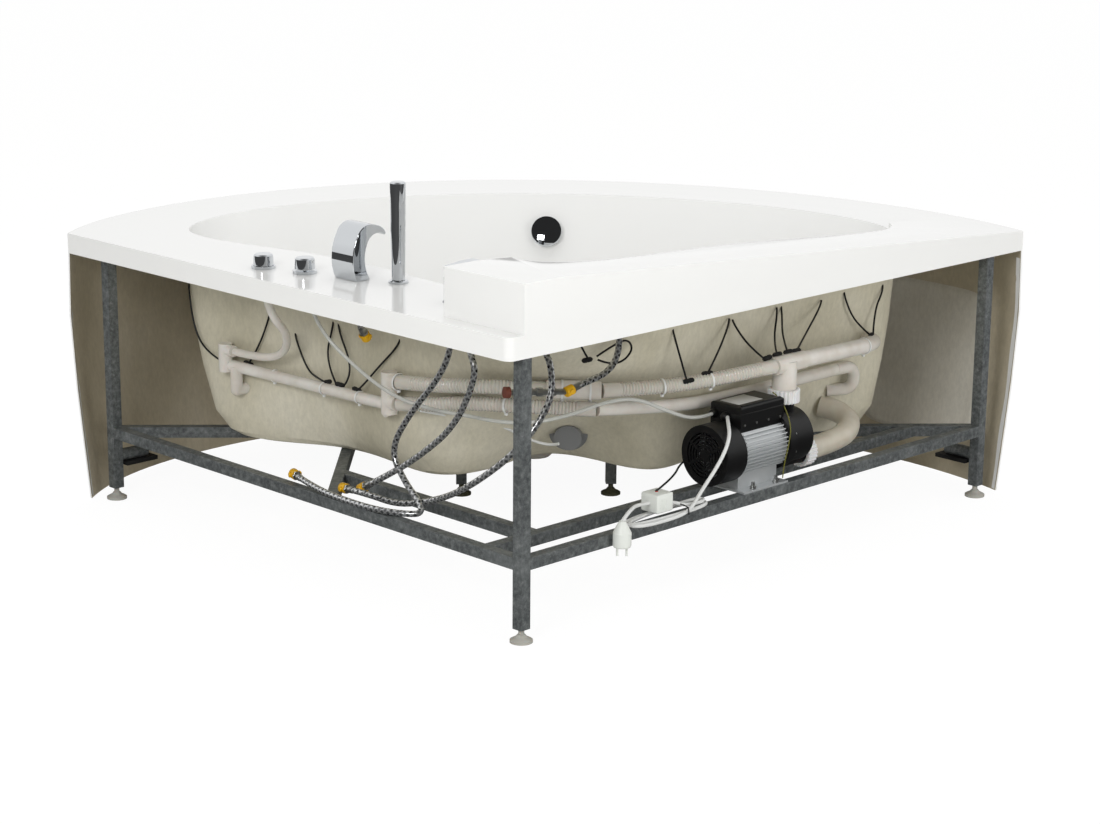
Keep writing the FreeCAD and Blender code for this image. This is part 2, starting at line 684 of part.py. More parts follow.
feature("inner_tap_rail", largest(inner_tap.cut(cross_bar)))

chord_run = at(chord_end[0], chord_end[1], 0) - at(chord_start[0], chord_start[1], 0)
chord_run.normalize()
chord_out = Vec(chord_run.y, -chord_run.x, 0)
if chord_out.dot(at(1, 1, 0)) < 0:
    chord_out = chord_out * -1
front_legs = []
front_feet = []
for along_tap in (mm("front_leg_one"), mm("front_leg_two")):
    centre = at(along_tap, chord_b(along_tap), mm("leg_bottom")) + chord_out * TUBE
    front_feet.append((centre.x, -centre.y))
    post = Part.makeBox(TUBE, TUBE, RAIL_TOP - mm("leg_bottom"), Vec(-HALF, -HALF, 0))
    plate = 4 * mm("tube_wall")
    inner = TUBE - 2 * mm("tube_wall")
    post = post.cut(Part.makeBox(inner, inner, RAIL_TOP, Vec(-inner / 2, -inner / 2, plate)))
    post = post.cut(disc(Vec(0, 0, -1), UP, mm("foot_stem") / 2 + PLAY, plate + 2))
    post.Placement = FreeCAD.Placement(centre, FreeCAD.Rotation(Vec(1, 0, 0), chord_run))
    front_legs.append(post)
feature("front_legs", Part.Compound(front_legs))
foot("corner_foot", LEG_A, LEG_B)
foot("tap_end_foot", TAP_END, LEG_B)
foot("pump_end_foot", LEG_A, PUMP_END)
foot("front_foot_one", *front_feet[0])
foot("front_foot_two", *front_feet[1])

STUB_RADIUS = 14.0
STUB_HEIGHT = 102.0
STUB_LENGTH = 72.0
stubs = []
pads = []
for start, direction in ((at(TAP_END, LEG_B + HALF, STUB_HEIGHT), ALONG_PUMP),
                         (at(LEG_A + HALF, PUMP_END, STUB_HEIGHT), ALONG_TAP)):
    stub = disc(start, direction, STUB_RADIUS, STUB_LENGTH)
    stubs.append(stub.cut(disc(start, direction, STUB_RADIUS - 2.5, STUB_LENGTH)))
    side = direction.cross(UP)
    under = start + direction * 6 - UP * (STUB_RADIUS + GAP + 9)
    slab_low = under - side * 20
    slab_high = under + side * 20 + direction * (STUB_LENGTH + 14) + UP * 9
    pads.append(box_between(slab_low, slab_high))
feature("apron_brackets", Part.Compound(stubs))
feature("apron_pads", Part.Compound(pads))

# ---------------------------------------------------------------- taps on the deck
KNOB = mm("knob_width") / 2
COLLAR = mm("collar_width") / 2
COLLAR_TOP = DECK + GAP + mm("collar_height")
SPINDLE = mm("spindle") / 2
BUTTON_TRAVEL = 3.0


def deck_knob(node, a, b, rise):
    high = rise + mm("knob_height")
    outline = [(0, high), (KNOB - 3, high), (KNOB, high - 3), (KNOB + 1, rise),
               (SPINDLE, rise), (SPINDLE, -mm("stem_drop")), (0, -mm("stem_drop"))]
    return keep(turned(node, outline, stand(a, b, COLLAR_TOP)), node)


deck_knob("air_knob", mm("knob_one"), mm("knob_one_in"), GAP)
deck_knob("pump_button", KNOB_TWO, mm("knob_two_in"), BUTTON_TRAVEL + GAP)
collars = []
for a, b in ((mm("knob_one"), mm("knob_one_in")), (KNOB_TWO, mm("knob_two_in"))):
    ring = disc(at(a, b, DECK + GAP), UP, COLLAR, mm("collar_height"))
    ring = ring.fuse(disc(at(a, b, DECK - mm("stem_drop")), UP, NECK, mm("stem_drop") + GAP + 1))
    collars.append(ring.cut(disc(at(a, b, DECK - 60), UP, SPINDLE + PLAY, 80)))
feature("knob_collars", Part.Compound(collars))

reach = mm("spout_reach")
tall = mm("spout_height")
base = mm("spout_base")


def spout_point(out, rise):
    return at(mm("spout_at") - mm("spout_width") / 2, mm("spout_in") - base / 2 + out,
              DECK + GAP + rise)


spout_edges = [
    Part.Arc(spout_point(0, 0), spout_point(-9, 0.42 * tall), spout_point(5, 0.8 * tall)),
    Part.Arc(spout_point(5, 0.8 * tall), spout_point(26, tall - 3), spout_point(52, tall - 4)),
    Part.Arc(spout_point(52, tall - 4), spout_point(70, tall - 10), spout_point(reach, 0.8 * tall)),
    Part.LineSegment(spout_point(reach, 0.8 * tall), spout_point(reach - 3, 0.76 * tall)),
    Part.Arc(spout_point(reach - 3, 0.76 * tall), spout_point(50, 0.8 * tall),
             spout_point(32, 0.66 * tall)),
    Part.Arc(spout_point(32, 0.66 * tall), spout_point(24, 0.38 * tall), spout_point(base + 2, 4)),
    Part.LineSegment(spout_point(base + 2, 4), spout_point(base + 2, 0)),
    Part.LineSegment(spout_point(base + 2, 0), spout_point(0, 0)),
]
spout_face = Part.Face(Part.Wire([edge.toShape() for edge in spout_edges]))
spout = spout_face.extrude(Vec(mm("spout_width"), 0, 0))
spout = spout.fuse(disc(at(mm("spout_at"), mm("spout_in"), DECK - mm("stem_drop")), UP, NECK,
                        mm("stem_drop") + GAP + 2))
feature("bath_spout", spout.removeSplitter())

SHANK = 11.0
SLEEVE = 16.7
RING_HEIGHT = 6.0
top = mm("shower_length") - RING_HEIGHT
wide = mm("shower_width") / 2
slim = mm("shower_foot") / 2
shower_outline = [(0, top), (wide - 3, top), (wide, top - 3), (wide, top - 20), (slim, 0.3),
                  (SHANK, 0.3), (SHANK, -mm("shower_seat")), (0, -mm("shower_seat"))]
keep(turned("hand_shower", shower_outline,
            stand(mm("shower_at"), mm("shower_in"), DECK + RING_HEIGHT)), "hand_shower")
holder_outline = [(SHANK + PLAY, RING_HEIGHT), (19, RING_HEIGHT), (21, RING_HEIGHT - 2), (21, GAP),
                  (SLEEVE, GAP), (SLEEVE, -50), (SHANK + PLAY, -50)]
keep(turned("shower_holder", holder_outline,
            stand(mm("shower_at"), mm("shower_in"), DECK)), "shower_holder")

MIXER = mm("mixer_width") / 2
body_top = mm("mixer_height")
mixer_outline = [(0, body_top), (MIXER - 2, body_top), (MIXER, body_top - 3), (MIXER, 4),
                 (MIXER + 3, GAP), (16.7, GAP), (16.7, -mm("stem_drop")), (0, -mm("stem_drop"))]
keep(turned("mixer_body", mixer_outline,
            stand(mm("mixer_at"), mm("mixer_in"), DECK)), "mixer_body")
CARTRIDGE_TOP = 8.0
cartridge_outline = [(0, 0), (MIXER - 3, 0), (MIXER - 3, CARTRIDGE_TOP - 2),
                     (MIXER - 5, CARTRIDGE_TOP), (0, CARTRIDGE_TOP)]
keep(turned("mixer_cartridge", cartridge_outline,
            stand(mm("mixer_at"), mm("mixer_in"), DECK + body_top + GAP)), "mixer_cartridge")
lever_low = DECK + body_top + 2 * GAP + CARTRIDGE_TOP
LEVER_BARREL = 6.0
LEVER_BACK = -12.0
lever_profile = [(LEVER_BACK, 0), (16, 0), (30, 8), (mm("lever_length") - 18, 12),
                 (mm("lever_length") - 18, 17), (26, 16), (LEVER_BACK, 2 * LEVER_BARREL)]
lever_points = [at(mm("mixer_at") - 15, mm("mixer_in") + out, lever_low + rise)
                for out, rise in lever_profile]
lever = Part.Face(Part.makePolygon(lever_points + lever_points[:1])).extrude(Vec(30, 0, 0))
barrel = disc(at(mm("mixer_at") - 15, mm("mixer_in") + LEVER_BACK, lever_low + LEVER_BARREL),
              ALONG_TAP, LEVER_BARREL, 30)
feature("mixer_lever", lever.fuse(barrel).removeSplitter())

NUT_HEIGHT = 9.0
nuts = []
for a, b, radius in deck_holes:
    nut = disc(at(a, b, DECK_UNDER - GAP - NUT_HEIGHT), UP, radius + 9, NUT_HEIGHT)
    nuts.append(nut.cut(disc(at(a, b, DECK_UNDER - 20), UP, radius + GAP, 30)))
feature("deck_nuts", Part.Compound(nuts))

# ---------------------------------------------------------------- overflow, plug and trap
KNOB_O = mm("overflow_width") / 2
FLANGE = 30.0
inner_face = overflow_in - overflow_axis * 2.5
flange = disc(inner_face - overflow_axis * 4, overflow_axis, FLANGE, 4)
neck = disc(inner_face, overflow_axis, OVERFLOW_NECK, 46)
chamber = disc(overflow_in + overflow_axis * (SKIN + 6), overflow_axis, FLANGE, 30)
overflow_body = flange.fuse(neck).fuse(chamber)
spindle_hole = disc(inner_face - overflow_axis * 10, overflow_axis, SPINDLE + PLAY, 100)
feature("overflow_body", overflow_body.cut(spindle_hole).removeSplitter())
knob_face = inner_face - overflow_axis * (4 + GAP)
knob = disc(knob_face - overflow_axis * mm("overflow_depth"), overflow_axis, KNOB_O,
            mm("overflow_depth"))
knob = knob.makeFillet(4, [edge for edge in knob.Edges if edge.Closed and
                           (edge.CenterOfMass - knob_face).Length > 10])
knob = knob.fuse(disc(knob_face, overflow_axis, SPINDLE, 40))
feature("overflow_knob", knob.removeSplitter())

FLOOR_IN = BOWL_LOW + SKIN
WASTE = mm("waste_width") / 2
DRAIN = 19.0
trap_top = BOWL_LOW - 24
waste_outline = [(DRAIN, 3.5), (DRAIN, -46), (WASTE_NECK, -46), (WASTE_NECK, GAP),
                 (WASTE, GAP), (WASTE, 2), (WASTE - 3, 3.5)]
keep(turned("waste_flange", waste_outline, stand(waste_a, waste_b, FLOOR_IN)), "waste_flange")
plug_outline = [(0, 9), (24, 8), (31, 5.5), (31, 3.5 + GAP), (16, 3.5 + GAP), (16, -4), (5, -4),
                (5, -40), (0, -40)]
keep(turned("waste_plug", plug_outline, stand(waste_a, waste_b, FLOOR_IN)), "waste_plug")
pot = mm("trap_width") / 2
pot_low = mm("trap_bottom")
trap_outline = [(0, pot_low), (pot - 6, pot_low), (pot, pot_low + 6), (pot, trap_top - 8),
                (pot - 8, trap_top), (WASTE_NECK + 6, trap_top), (WASTE_NECK + 6, BOWL_LOW - GAP),
                (WASTE_NECK + PLAY, BOWL_LOW - GAP), (WASTE_NECK + PLAY, trap_top - 4),
                (pot - 4, trap_top - 10), (pot - 4, pot_low + 8), (0, pot_low + 4)]
pipe_radius = mm("waste_pipe") / 2
OUTLET_TURN = math.radians(30)
outlet_turn = at(-math.cos(OUTLET_TURN), math.sin(OUTLET_TURN), 0)
outlet_start = at(waste_a, waste_b, (pot_low + trap_top) / 2)
outlet_length = pot + mm("waste_outlet_length")
trap_profile = Part.makePolygon([Vec(r, 0, z) for r, z in trap_outline + trap_outline[:1]])
trap = Part.Face(trap_profile).revolve(Vec(0, 0, 0), UP, 360)
trap.translate(at(waste_a, waste_b, 0))
OUTLET_COLLAR = 10.0
outlet = disc(outlet_start + outlet_turn * (pot - 8), outlet_turn, pipe_radius + 6,
              OUTLET_COLLAR + 8)
outlet = outlet.fuse(disc(outlet_start + outlet_turn * (pot + OUTLET_COLLAR - 2), outlet_turn,
                          pipe_radius, outlet_length - pot - OUTLET_COLLAR + 2))
trap = trap.fuse(outlet)
trap = trap.cut(disc(outlet_start + outlet_turn * (pot - 12), outlet_turn, pipe_radius - 3,
                     outlet_length))
trap_pipe = 16.0
feature("waste_trap", trap.removeSplitter())
overflow_end = overflow_in + overflow_axis * (SKIN + 36)
drop = [overflow_end, overflow_end + overflow_axis * 55]
trap_inlet = outlet_start + overflow_out * (pot + GAP)
drop.append(drop[1] + Vec(overflow_out.x, overflow_out.y, 0) * 8 - UP * 90)
drop.append(Vec(drop[2].x, drop[2].y, drop[2].z - 130))
drop.append(trap_inlet + overflow_out * 150 + UP * 36)
drop.append(trap_inlet + overflow_out * 60)
drop.append(trap_inlet)
feature("overflow_pipe", tube("overflow_pipe", [(p.x, -p.y, p.z) for p in drop], trap_pipe))

# ---------------------------------------------------------------- massage jet pump
AXIS_A = mm("motor_from_wall")
AXIS_Z = RAIL_TOP + mm("motor_lift")
FACE = mm("motor_start")
MOTOR = FACE + mm("fan_cover_length")
CASING = MOTOR + mm("motor_length")
REAR = CASING + mm("volute_length")
SHELL = mm("motor_shell")
FIN = mm("motor_radius")
VOLUTE = mm("volute_radius")
PORT = mm("port_radius")
SHAFT = mm("shaft") / 2


def on_axis(b, radius, length, drop=0.0):
    """A cylinder along the pump, starting b millimetres from the tap wall."""
    return disc(at(AXIS_A, b, AXIS_Z - drop), ALONG_PUMP, radius, length)


cover_radius = FIN + 2
cover_wall = mm("fan_cover_wall")
cover = on_axis(FACE, cover_radius, mm("fan_cover_length"))
cover = cover.cut(on_axis(FACE + cover_wall, cover_radius - cover_wall, 80))
spokes = []
for count in range(3):
    bar = Part.makeBox(2 * cover_radius, 20, 5, Vec(-cover_radius, -10, -2.5))
    bar.Placement = FreeCAD.Placement(at(AXIS_A, FACE, AXIS_Z),
                                      FreeCAD.Rotation(Vec(0, 1, 0), 30 + 60 * count))
    spokes.append(bar)
spokes = spokes[0].fuse(spokes[1:])
for ring_radius in (14, 22, 30, 38, 46):
    slot = on_axis(FACE - 1, ring_radius + 4, 6).cut(on_axis(FACE - 2, ring_radius, 8))
    cover = cover.cut(slot.cut(spokes))
feature("fan_cover", cover)

housing = on_axis(MOTOR + GAP, SHELL, mm("motor_length") - GAP)
housing = housing.fuse(on_axis(MOTOR - 12, cover_radius - cover_wall - GAP, 12 + GAP))
fins = []
for count in range(int(mm("fin_count"))):
    angle = 360.0 * count / mm("fin_count")
    up_share = math.cos(math.radians(angle))
    if up_share > 0.72 or up_share < -0.75:
        continue
    fin = Part.makeBox(mm("fin_thickness"), mm("motor_length") - 10, FIN - SHELL + 2,
                       Vec(-mm("fin_thickness") / 2, 0, SHELL - 2))
    fin.rotate(Vec(0, 0, 0), Vec(0, 1, 0), angle)
    fin.translate(at(AXIS_A, CASING - 4, AXIS_Z))
    fins.append(fin)
half_base = mm("base_width") / 2
base_start = MOTOR - 2
plate = box_between(at(AXIS_A - half_base, base_start, RAIL_TOP),
                    at(AXIS_A + half_base, base_start + mm("base_length"),
                       RAIL_TOP + mm("base_thickness")))
pedestal = box_between(at(AXIS_A - 34, MOTOR + 8, RAIL_TOP + 2),
                       at(AXIS_A + 34, CASING - 8, AXIS_Z - 40))
housing = housing.fuse(fins + [plate, pedestal])
housing = housing.cut(on_axis(MOTOR - 6, SHELL - 6, 200))
housing = housing.cut(on_axis(MOTOR - 20, SHAFT + PLAY, 60))
bolt_places = []
for a in (LEG_A, PUMP_RAIL - 3):
    for b in (base_start + 38, base_start + 112):
        bolt_places.append((a, b))
        housing = housing.cut(disc(at(a, b, RAIL_TOP - 2), UP, 4.4, 10))
feature("motor_housing", housing)
stator = on_axis(MOTOR + 20, SHELL - 6 - GAP, mm("motor_length") - 44)
feature("motor_stator", stator.cut(on_axis(MOTOR, 30, 200)))
bolts = []
for a, b in bolt_places:
    head_low = RAIL_TOP + mm("base_thickness")
    bolt = disc(at(a, b, head_low + GAP), UP, 7, 6).fuse(disc(at(a, b, head_low - 3), UP, 4, 18))
    bolts.append(bolt)
feature("pump_bolts", Part.Compound(bolts))

OUTLET = CASING + mm("outlet_back")
outlet_top = AXIS_Z + VOLUTE + mm("outlet_rise")
casing = on_axis(CASING + GAP, VOLUTE, 20)
casing = casing.fuse(on_axis(CASING + 10, VOLUTE - 7, mm("volute_length") - 10))
casing = casing.fuse(disc(at(AXIS_A, OUTLET, AXIS_Z), UP, PORT, VOLUTE + mm("outlet_rise")))
inlet_b = REAR - 30
casing = casing.fuse(on_axis(inlet_b, PORT, 30 + mm("inlet_length"), mm("inlet_drop")))
hollow = on_axis(CASING + 14, VOLUTE - 7 - mm("volute_wall"),
                 mm("volute_length") - 14 - mm("volute_wall"))
hollow = hollow.fuse(disc(at(AXIS_A, OUTLET, AXIS_Z), UP, PORT - 4, 200))
hollow = hollow.fuse(on_axis(inlet_b, PORT - 4, 200, mm("inlet_drop")))
hollow = hollow.common(box_between(at(-50, CASING + 14, 100), at(250, REAR + 80, 500)))
casing = casing.cut(hollow).cut(on_axis(CASING - 5, SHAFT + PLAY, 40))
feature("pump_casing", casing.removeSplitter())

rotor = on_axis(MOTOR - 40, SHAFT, mm("motor_length") + 88)
rotor = rotor.fuse(on_axis(MOTOR + 24, 28, mm("motor_length") - 52))
fan = [on_axis(MOTOR - 40, 18, 24)]
for count in range(9):
    blade = Part.makeBox(3, 20, 40, Vec(-1.5, 0, 14))
    blade.rotate(Vec(0, 0, 0), Vec(0, 1, 0), 40 * count)
    blade.translate(at(AXIS_A, MOTOR - 18, AXIS_Z))
    fan.append(blade)
impeller = [on_axis(CASING + 22, 20, 24), on_axis(CASING + 22, 50, 4)]
for count in range(6):
    vane = Part.makeBox(3, 16, 34, Vec(-1.5, 0, 15))
    vane.rotate(Vec(0, 0, 0), Vec(0, 1, 0), 60 * count)
    vane.translate(at(AXIS_A, CASING + 40, AXIS_Z))
    impeller.append(vane)
feature("pump_rotor", rotor.fuse(fan + impeller))

box_low = AXIS_Z + 40
box_top = AXIS_Z + SHELL + 2 + mm("box_height")
box_start = MOTOR + 8
box_end = box_start + mm("box_length")
box_near = AXIS_A - 38
terminal_box = box_between(at(box_near, box_start, box_low),
                           at(box_near + mm("box_width"), box_end, box_top))
terminal_box = terminal_box.makeFillet(6, [edge for edge in terminal_box.Edges
                                           if edge.CenterOfMass.z > box_top - 1])
fin_clear = on_axis(MOTOR - 20, SHELL + GAP, 300)
side_clear = on_axis(MOTOR - 20, FIN + 1, 300)
side_clear = side_clear.cut(box_between(at(AXIS_A - 36, 0, AXIS_Z), at(AXIS_A + 36, 2000, 900)))
terminal_box = terminal_box.cut(fin_clear).cut(side_clear).cut(on_axis(CASING - 2, VOLUTE + 1, 60))
terminal_box = terminal_box.cut(disc(at(AXIS_A, OUTLET, 0), UP, mm("union_radius") + 1, 900))
feature("terminal_box", largest(terminal_box))

UNION = mm("union_radius")
LONG = mm("union_length")
PIPE = 27.0
top_union = disc(at(AXIS_A, OUTLET, outlet_top - 14), UP, UNION, LONG)
top_union = top_union.cut(disc(at(AXIS_A, OUTLET, outlet_top - 20), UP, PORT + GAP, 20 + GAP))
top_union = top_union.cut(disc(at(AXIS_A, OUTLET, outlet_top), UP, PIPE + GAP, 60))
inlet_union_start = REAR + mm("inlet_length") - 14
SUCTION_Z = AXIS_Z - mm("inlet_drop")
side_union = on_axis(inlet_union_start, UNION - 1, LONG, mm("inlet_drop"))
side_union = side_union.cut(on_axis(REAR, PORT + GAP, mm("inlet_length") + GAP, mm("inlet_drop")))
side_union = side_union.cut(on_axis(REAR + mm("inlet_length"), 25 + GAP, 60, mm("inlet_drop")))
feature("pump_unions", Part.Compound([top_union, side_union]))

# ---------------------------------------------------------------- rigid pipes and fittings
TEE_Z = 417.0
tee_low = outlet_top + 2
tee_pipe = disc(at(AXIS_A, OUTLET, tee_low), UP, PIPE, TEE_Z + 6 - tee_low)
tee_cross = disc(at(68, 852, TEE_Z), ALONG_PUMP, 20, 96)
right_pipe = tube("pressure_tee pipe", [(68, 940, 417), (74, 1060, 413), (104, 1215, 400),
                                        (128, 1272, 396), (163, 1284, 396)], 18)
tee_bore = disc(at(AXIS_A, OUTLET, tee_low - 1), UP, PIPE - 4, 40)
feature("pressure_tee", tee_pipe.fuse([tee_cross, right_pipe]).cut(tee_bore).removeSplitter())

pipe = mm("manifold_radius")
manifold = tube("manifold pipe", [(1107, 181, 347), (960, 226, 334), (602, 224, 341)], pipe)
manifold = manifold.fuse([
    disc(at(602, 224, 322), UP, 18, 92), disc(at(602, 224, 396), ALONG_TAP * -1, 17.5, 26),
    disc(at(602, 224, 349), ALONG_TAP * -1, 17.5, 26), disc(at(1110, 178, 332), UP, 16, 64),
    disc(at(1110, 178, 382), ALONG_TAP * -1, 13, 30), disc(at(1083, 187, 292), UP, 14, 54),
    Part.makeSphere(14, at(1083, 187, 292)), disc(at(1083, 187, 292), ALONG_PUMP, 14, 27)])

loop = tube("jet elbow", [(150, 1163, 345), (148, 1226, 343), (152, 1234, 288), (196, 1192, 283)],
            14)
jet = disc(at(632, 237, 315), ALONG_PUMP, 10, 12).fuse(disc(at(632, 231, 315), ALONG_PUMP, 3, 7))
feature("jet_bodies", Part.Compound([loop, jet]))

sleeve = tube("coupling", [(285, 380, 407), (207, 464, 404)], 20)
feature("manifold", Part.Compound([manifold, sleeve]))

# ---------------------------------------------------------------- hoses
HOSE = mm("hose_radius")
BORE = mm("hose_bore")
upper_route = [(574, 226.5, 396), (495, 240, 401), (400, 263, 413), (325, 310, 416),
               (287, 378, 407)]
lower_route = [(574, 226, 348.5), (515, 243, 354), (433, 290, 366), (345, 330, 370),
               (262, 395, 368), (207, 450, 366)]
feature("ribbed_hoses", Part.Compound([ribbed("upper ribbed hose", upper_route, HOSE, BORE),
                                       ribbed("lower ribbed hose", lower_route, HOSE, BORE)]))
pressure_route = [(206, 465, 404), (165, 556, 401), (118, 672, 404), (82, 765, 413),
                  (68, 853, 417)]
feature("pressure_hose", ribbed("pressure_hose", pressure_route, HOSE, BORE))
feature("lower_hose", tube("lower_hose", [(206, 451, 366), (178, 545, 358), (165, 715, 340),
                                          (152, 940, 343), (150, 1162, 345)], 14))
suction_start = REAR + mm("inlet_length") + 1
feature("suction_hose", tube("suction_hose", [(AXIS_A, suction_start, SUCTION_Z),
                                              (76, 1098, 207), (112, 1182, 222),
                                              (165, 1204, 238), (206, 1181, 247)], 25))
air_route = [(842, 81, 581), (842, 94, 520), (858, 158, 462), (925, 200, 400), (1005, 204, 374),
             (1082, 182, 381)]
clear_route = [(108, 712, 332), (96, 640, 330), (108, 560, 362), (138, 500, 395), (152, 425, 398),
               (163, 340, 384), (182, 250, 378), (240, 205, 376), (330, 205, 372),
               (440, 196, 366), (550, 180, 380), (650, 152, 440), (718, 122, 510),
               (741, 112, 581)]
feature("air_hoses", Part.Compound([tube("air hose", air_route, 9),
                                    tube("clear tube", clear_route, 4)]))

BRAID = mm("braided_radius")
braids = [
    [(321, 150, 581), (303, 131, 528), (342, 129, 460), (425, 127, 375), (484, 122, 285),
     (430, 116, 226), (372, 106, 198), (352, 92, 181), (375, 70, 180), (430, 46, 180.5),
     (520, 42, 180), (640, 50, 181), (738, 74, 187)],
    [(305, 150, 581), (240, 132, 524), (232, 130, 480), (290, 128, 372), (400, 124, 284),
     (500, 118, 222), (556, 110, 190)],
    [(313, 138, 581), (220, 168, 588), (110, 208, 562), (84, 206, 470), (84, 160, 408),
     (112, 118, 350), (178, 92, 290), (268, 104, 238), (360, 122, 200), (430, 96, 182),
     (505, 76, 194), (577, 78, 190)],
    [(313, 162, 581), (246, 172, 570), (165, 235, 574), (118, 340, 580), (120, 428, 560),
     (132, 436, 492), (138, 405, 461), (146, 352, 451), (150, 316, 441)],
    [(628, 146, 581), (630, 158, 535), (640, 190, 492)]]
braided = [tube("braided hose %d" % (count + 1), route, BRAID)
           for count, route in enumerate(braids)]
feature("braided_hoses", Part.Compound(braided))
caps = []
for route in braids:
    last = at(*route[-1])
    heading = (last - at(*route[-2])).normalize()
    cap = disc(last - heading * 4, heading, 11, 18)
    caps.append(cap.cut(disc(last - heading * 8, heading, BRAID + GAP, 12 + GAP)))
rod_start = at(154, 306, 439)
rod_end = at(197, 184, 450)
rod_run = (rod_end - rod_start).normalize()
rod = disc(rod_start, rod_run, 6.5, (rod_end - rod_start).Length)
caps.append(rod.fuse(disc(rod_end - rod_run * 6, rod_run, 12, 14)))
feature("hose_caps", Part.Compound(caps))

# ---------------------------------------------------------------- lamp and its leads
lamp_axis = Vec(-0.62, 0.7, -0.25).normalize()
lamp_seat = wall_seat(281, 429, 210.5, lamp_axis * -1, bowl_outside)
lamp = disc(lamp_seat - lamp_axis * 3, lamp_axis, mm("lamp_radius"), mm("lamp_depth"))
lamp = lamp.fuse(disc(lamp_seat - lamp_axis * 3, lamp_axis, mm("lamp_radius") + 12, 6))
feature("lamp_housing", lamp)

lead_routes = [
    [(1279, 207, 502), (1262, 193, 496), (1240, 190, 402), (1190, 188, 358), (1125, 182, 350)],
    [(1010, 229, 480), (1004, 221, 466), (1034, 214, 395), (1060, 204, 353)],
    [(943, 246, 436), (936, 239, 430), (893, 238, 362), (850, 232, 353), (812, 228, 348)],
    [(825, 257, 480), (818, 250, 472), (843, 247, 392), (777, 226, 349)],
    [(809, 259, 480), (802, 251, 470), (754, 246, 402), (752, 236, 362), (762, 228, 349)],
    [(595, 249, 482), (590, 241, 470), (650, 238, 415), (700, 232, 362), (712, 227, 351)],
    [(155, 624, 520), (148, 620, 510), (122, 630, 424), (119, 637, 402)],
    [(153, 800, 516), (147, 794, 506), (124, 730, 450), (112, 688, 420)],
    [(154, 812, 512), (147, 809, 502), (112, 824, 455), (75, 838, 430)],
    [(156, 960, 516), (149, 954, 503), (134, 926, 452), (76, 872, 435)],
    [(160, 979, 515), (152, 974, 502), (128, 948, 456), (76, 908, 435.5)],
    [(150, 1105, 512), (144, 1098, 503), (104, 990, 450), (74, 932, 435)],
    [(146, 1180, 520), (140, 1176, 509), (141, 1205, 462), (137, 1242, 428), (122, 1253, 413)],
    [(152, 1326, 516), (145, 1320, 505), (137, 1280, 466), (126, 1265, 412)]]
leads = [tube("lamp lead %d" % (count + 1), route, mm("lead_radius"))
         for count, route in enumerate(lead_routes)]
leads.append(tube("lamp cable", [(386, 519, 243), (408, 515, 236), (430, 482, 248), (437, 429, 279),
                                 (444, 386, 300), (457, 345, 317), (478, 318, 318),
                                 (508, 276, 331), (517, 236, 342)], mm("lamp_cable_radius")))
leads.append(tube("spare loop", [(156, 398, 497), (150, 430, 512), (148, 478, 524), (150, 500, 498),
                                 (152, 472, 474), (154, 430, 476), (156, 402, 489)],
                  mm("lead_radius")))
leads.append(tube("spare lead", [(156, 374, 494), (152, 352, 520), (162, 334, 560)],
                  mm("lead_radius")))
leads.append(disc(at(156, 370, 494), ALONG_PUMP, 8, 34))
leads.append(tube("earth lead", [(30, 447, 227.5), (86, 560, 222), (152, 655, 224), (146, 704, 236),
                                  (133, 724, 242)],
                  mm("lead_radius")))
feature("light_leads", Part.Compound(leads))

# ---------------------------------------------------------------- mains cable, hank, switch, plug
MAINS = mm("mains_radius")
hank_route = [(-9, 462, 175), (-9, 352, 177.5), (45, 352, 177.5), (45, 588, 177.5),
              (0, 588, 177.5), (0, 361, 177.5), (36, 361, 177.5), (36, 579, 186.3),
              (9, 579, 186.3), (9, 520, 186.8)]
feature("cable_hank", tube("cable_hank", hank_route, MAINS))
pump_stretch = [(74, 712, 331), (50, 686, 333), (6, 646, 309), (8, 620, 262), (10, 560, 205),
                (-8, 512, 182), (-9, 462, 175)]
switch_stretch = [(9, 520, 186.8), (14, 494, 196), (26, 466, 204)]
plug_stretch = [(28, 430, 206), (22, 388, 213), (-3, 338, 219), (-13, 304, 203)]
power = [tube("mains cable", route, MAINS)
         for route in (pump_stretch, switch_stretch, plug_stretch)]
feature("power_cable", Part.Compound(power))
switch_box = box_between(at(4, 425, 187), at(52, 473, 226.4))
switch_box = switch_box.makeFillet(4, [edge for edge in switch_box.Edges
                                       if edge.BoundBox.ZLength > 30])
feature("switch_box", switch_box)
plug_outline = [(0, 0), (17, 0), (19, 4), (19, 30), (12, 44), (6.5, 54), (0, 54)]
plug_profile = Part.makePolygon([Vec(r, 0, z) for r, z in plug_outline + plug_outline[:1]])
plug_seat = at(-13, 304, 149)
mains_plug = Part.Face(plug_profile).revolve(Vec(0, 0, 0), UP, 360)
mains_plug.translate(plug_seat)
for side in (-1, 1):
    pin_low = plug_seat + Vec(6.7 * side, 6.7 * side, -19)
    mains_plug = mains_plug.fuse(disc(pin_low, UP, 2.4, 20))
feature("mains_plug", mains_plug)

doc.recompute()
for obj in PARTS:
    state = [word for word in obj.State if word in ("Invalid", "Error")]
    if state or obj.Shape.isNull() or not obj.Shape.isValid():
        raise RuntimeError("%s failed: %s" % (obj.Label, obj.State))
for obj in PARTS:
    obj.Shape.exportStep("parts/%s.step" % obj.Label)
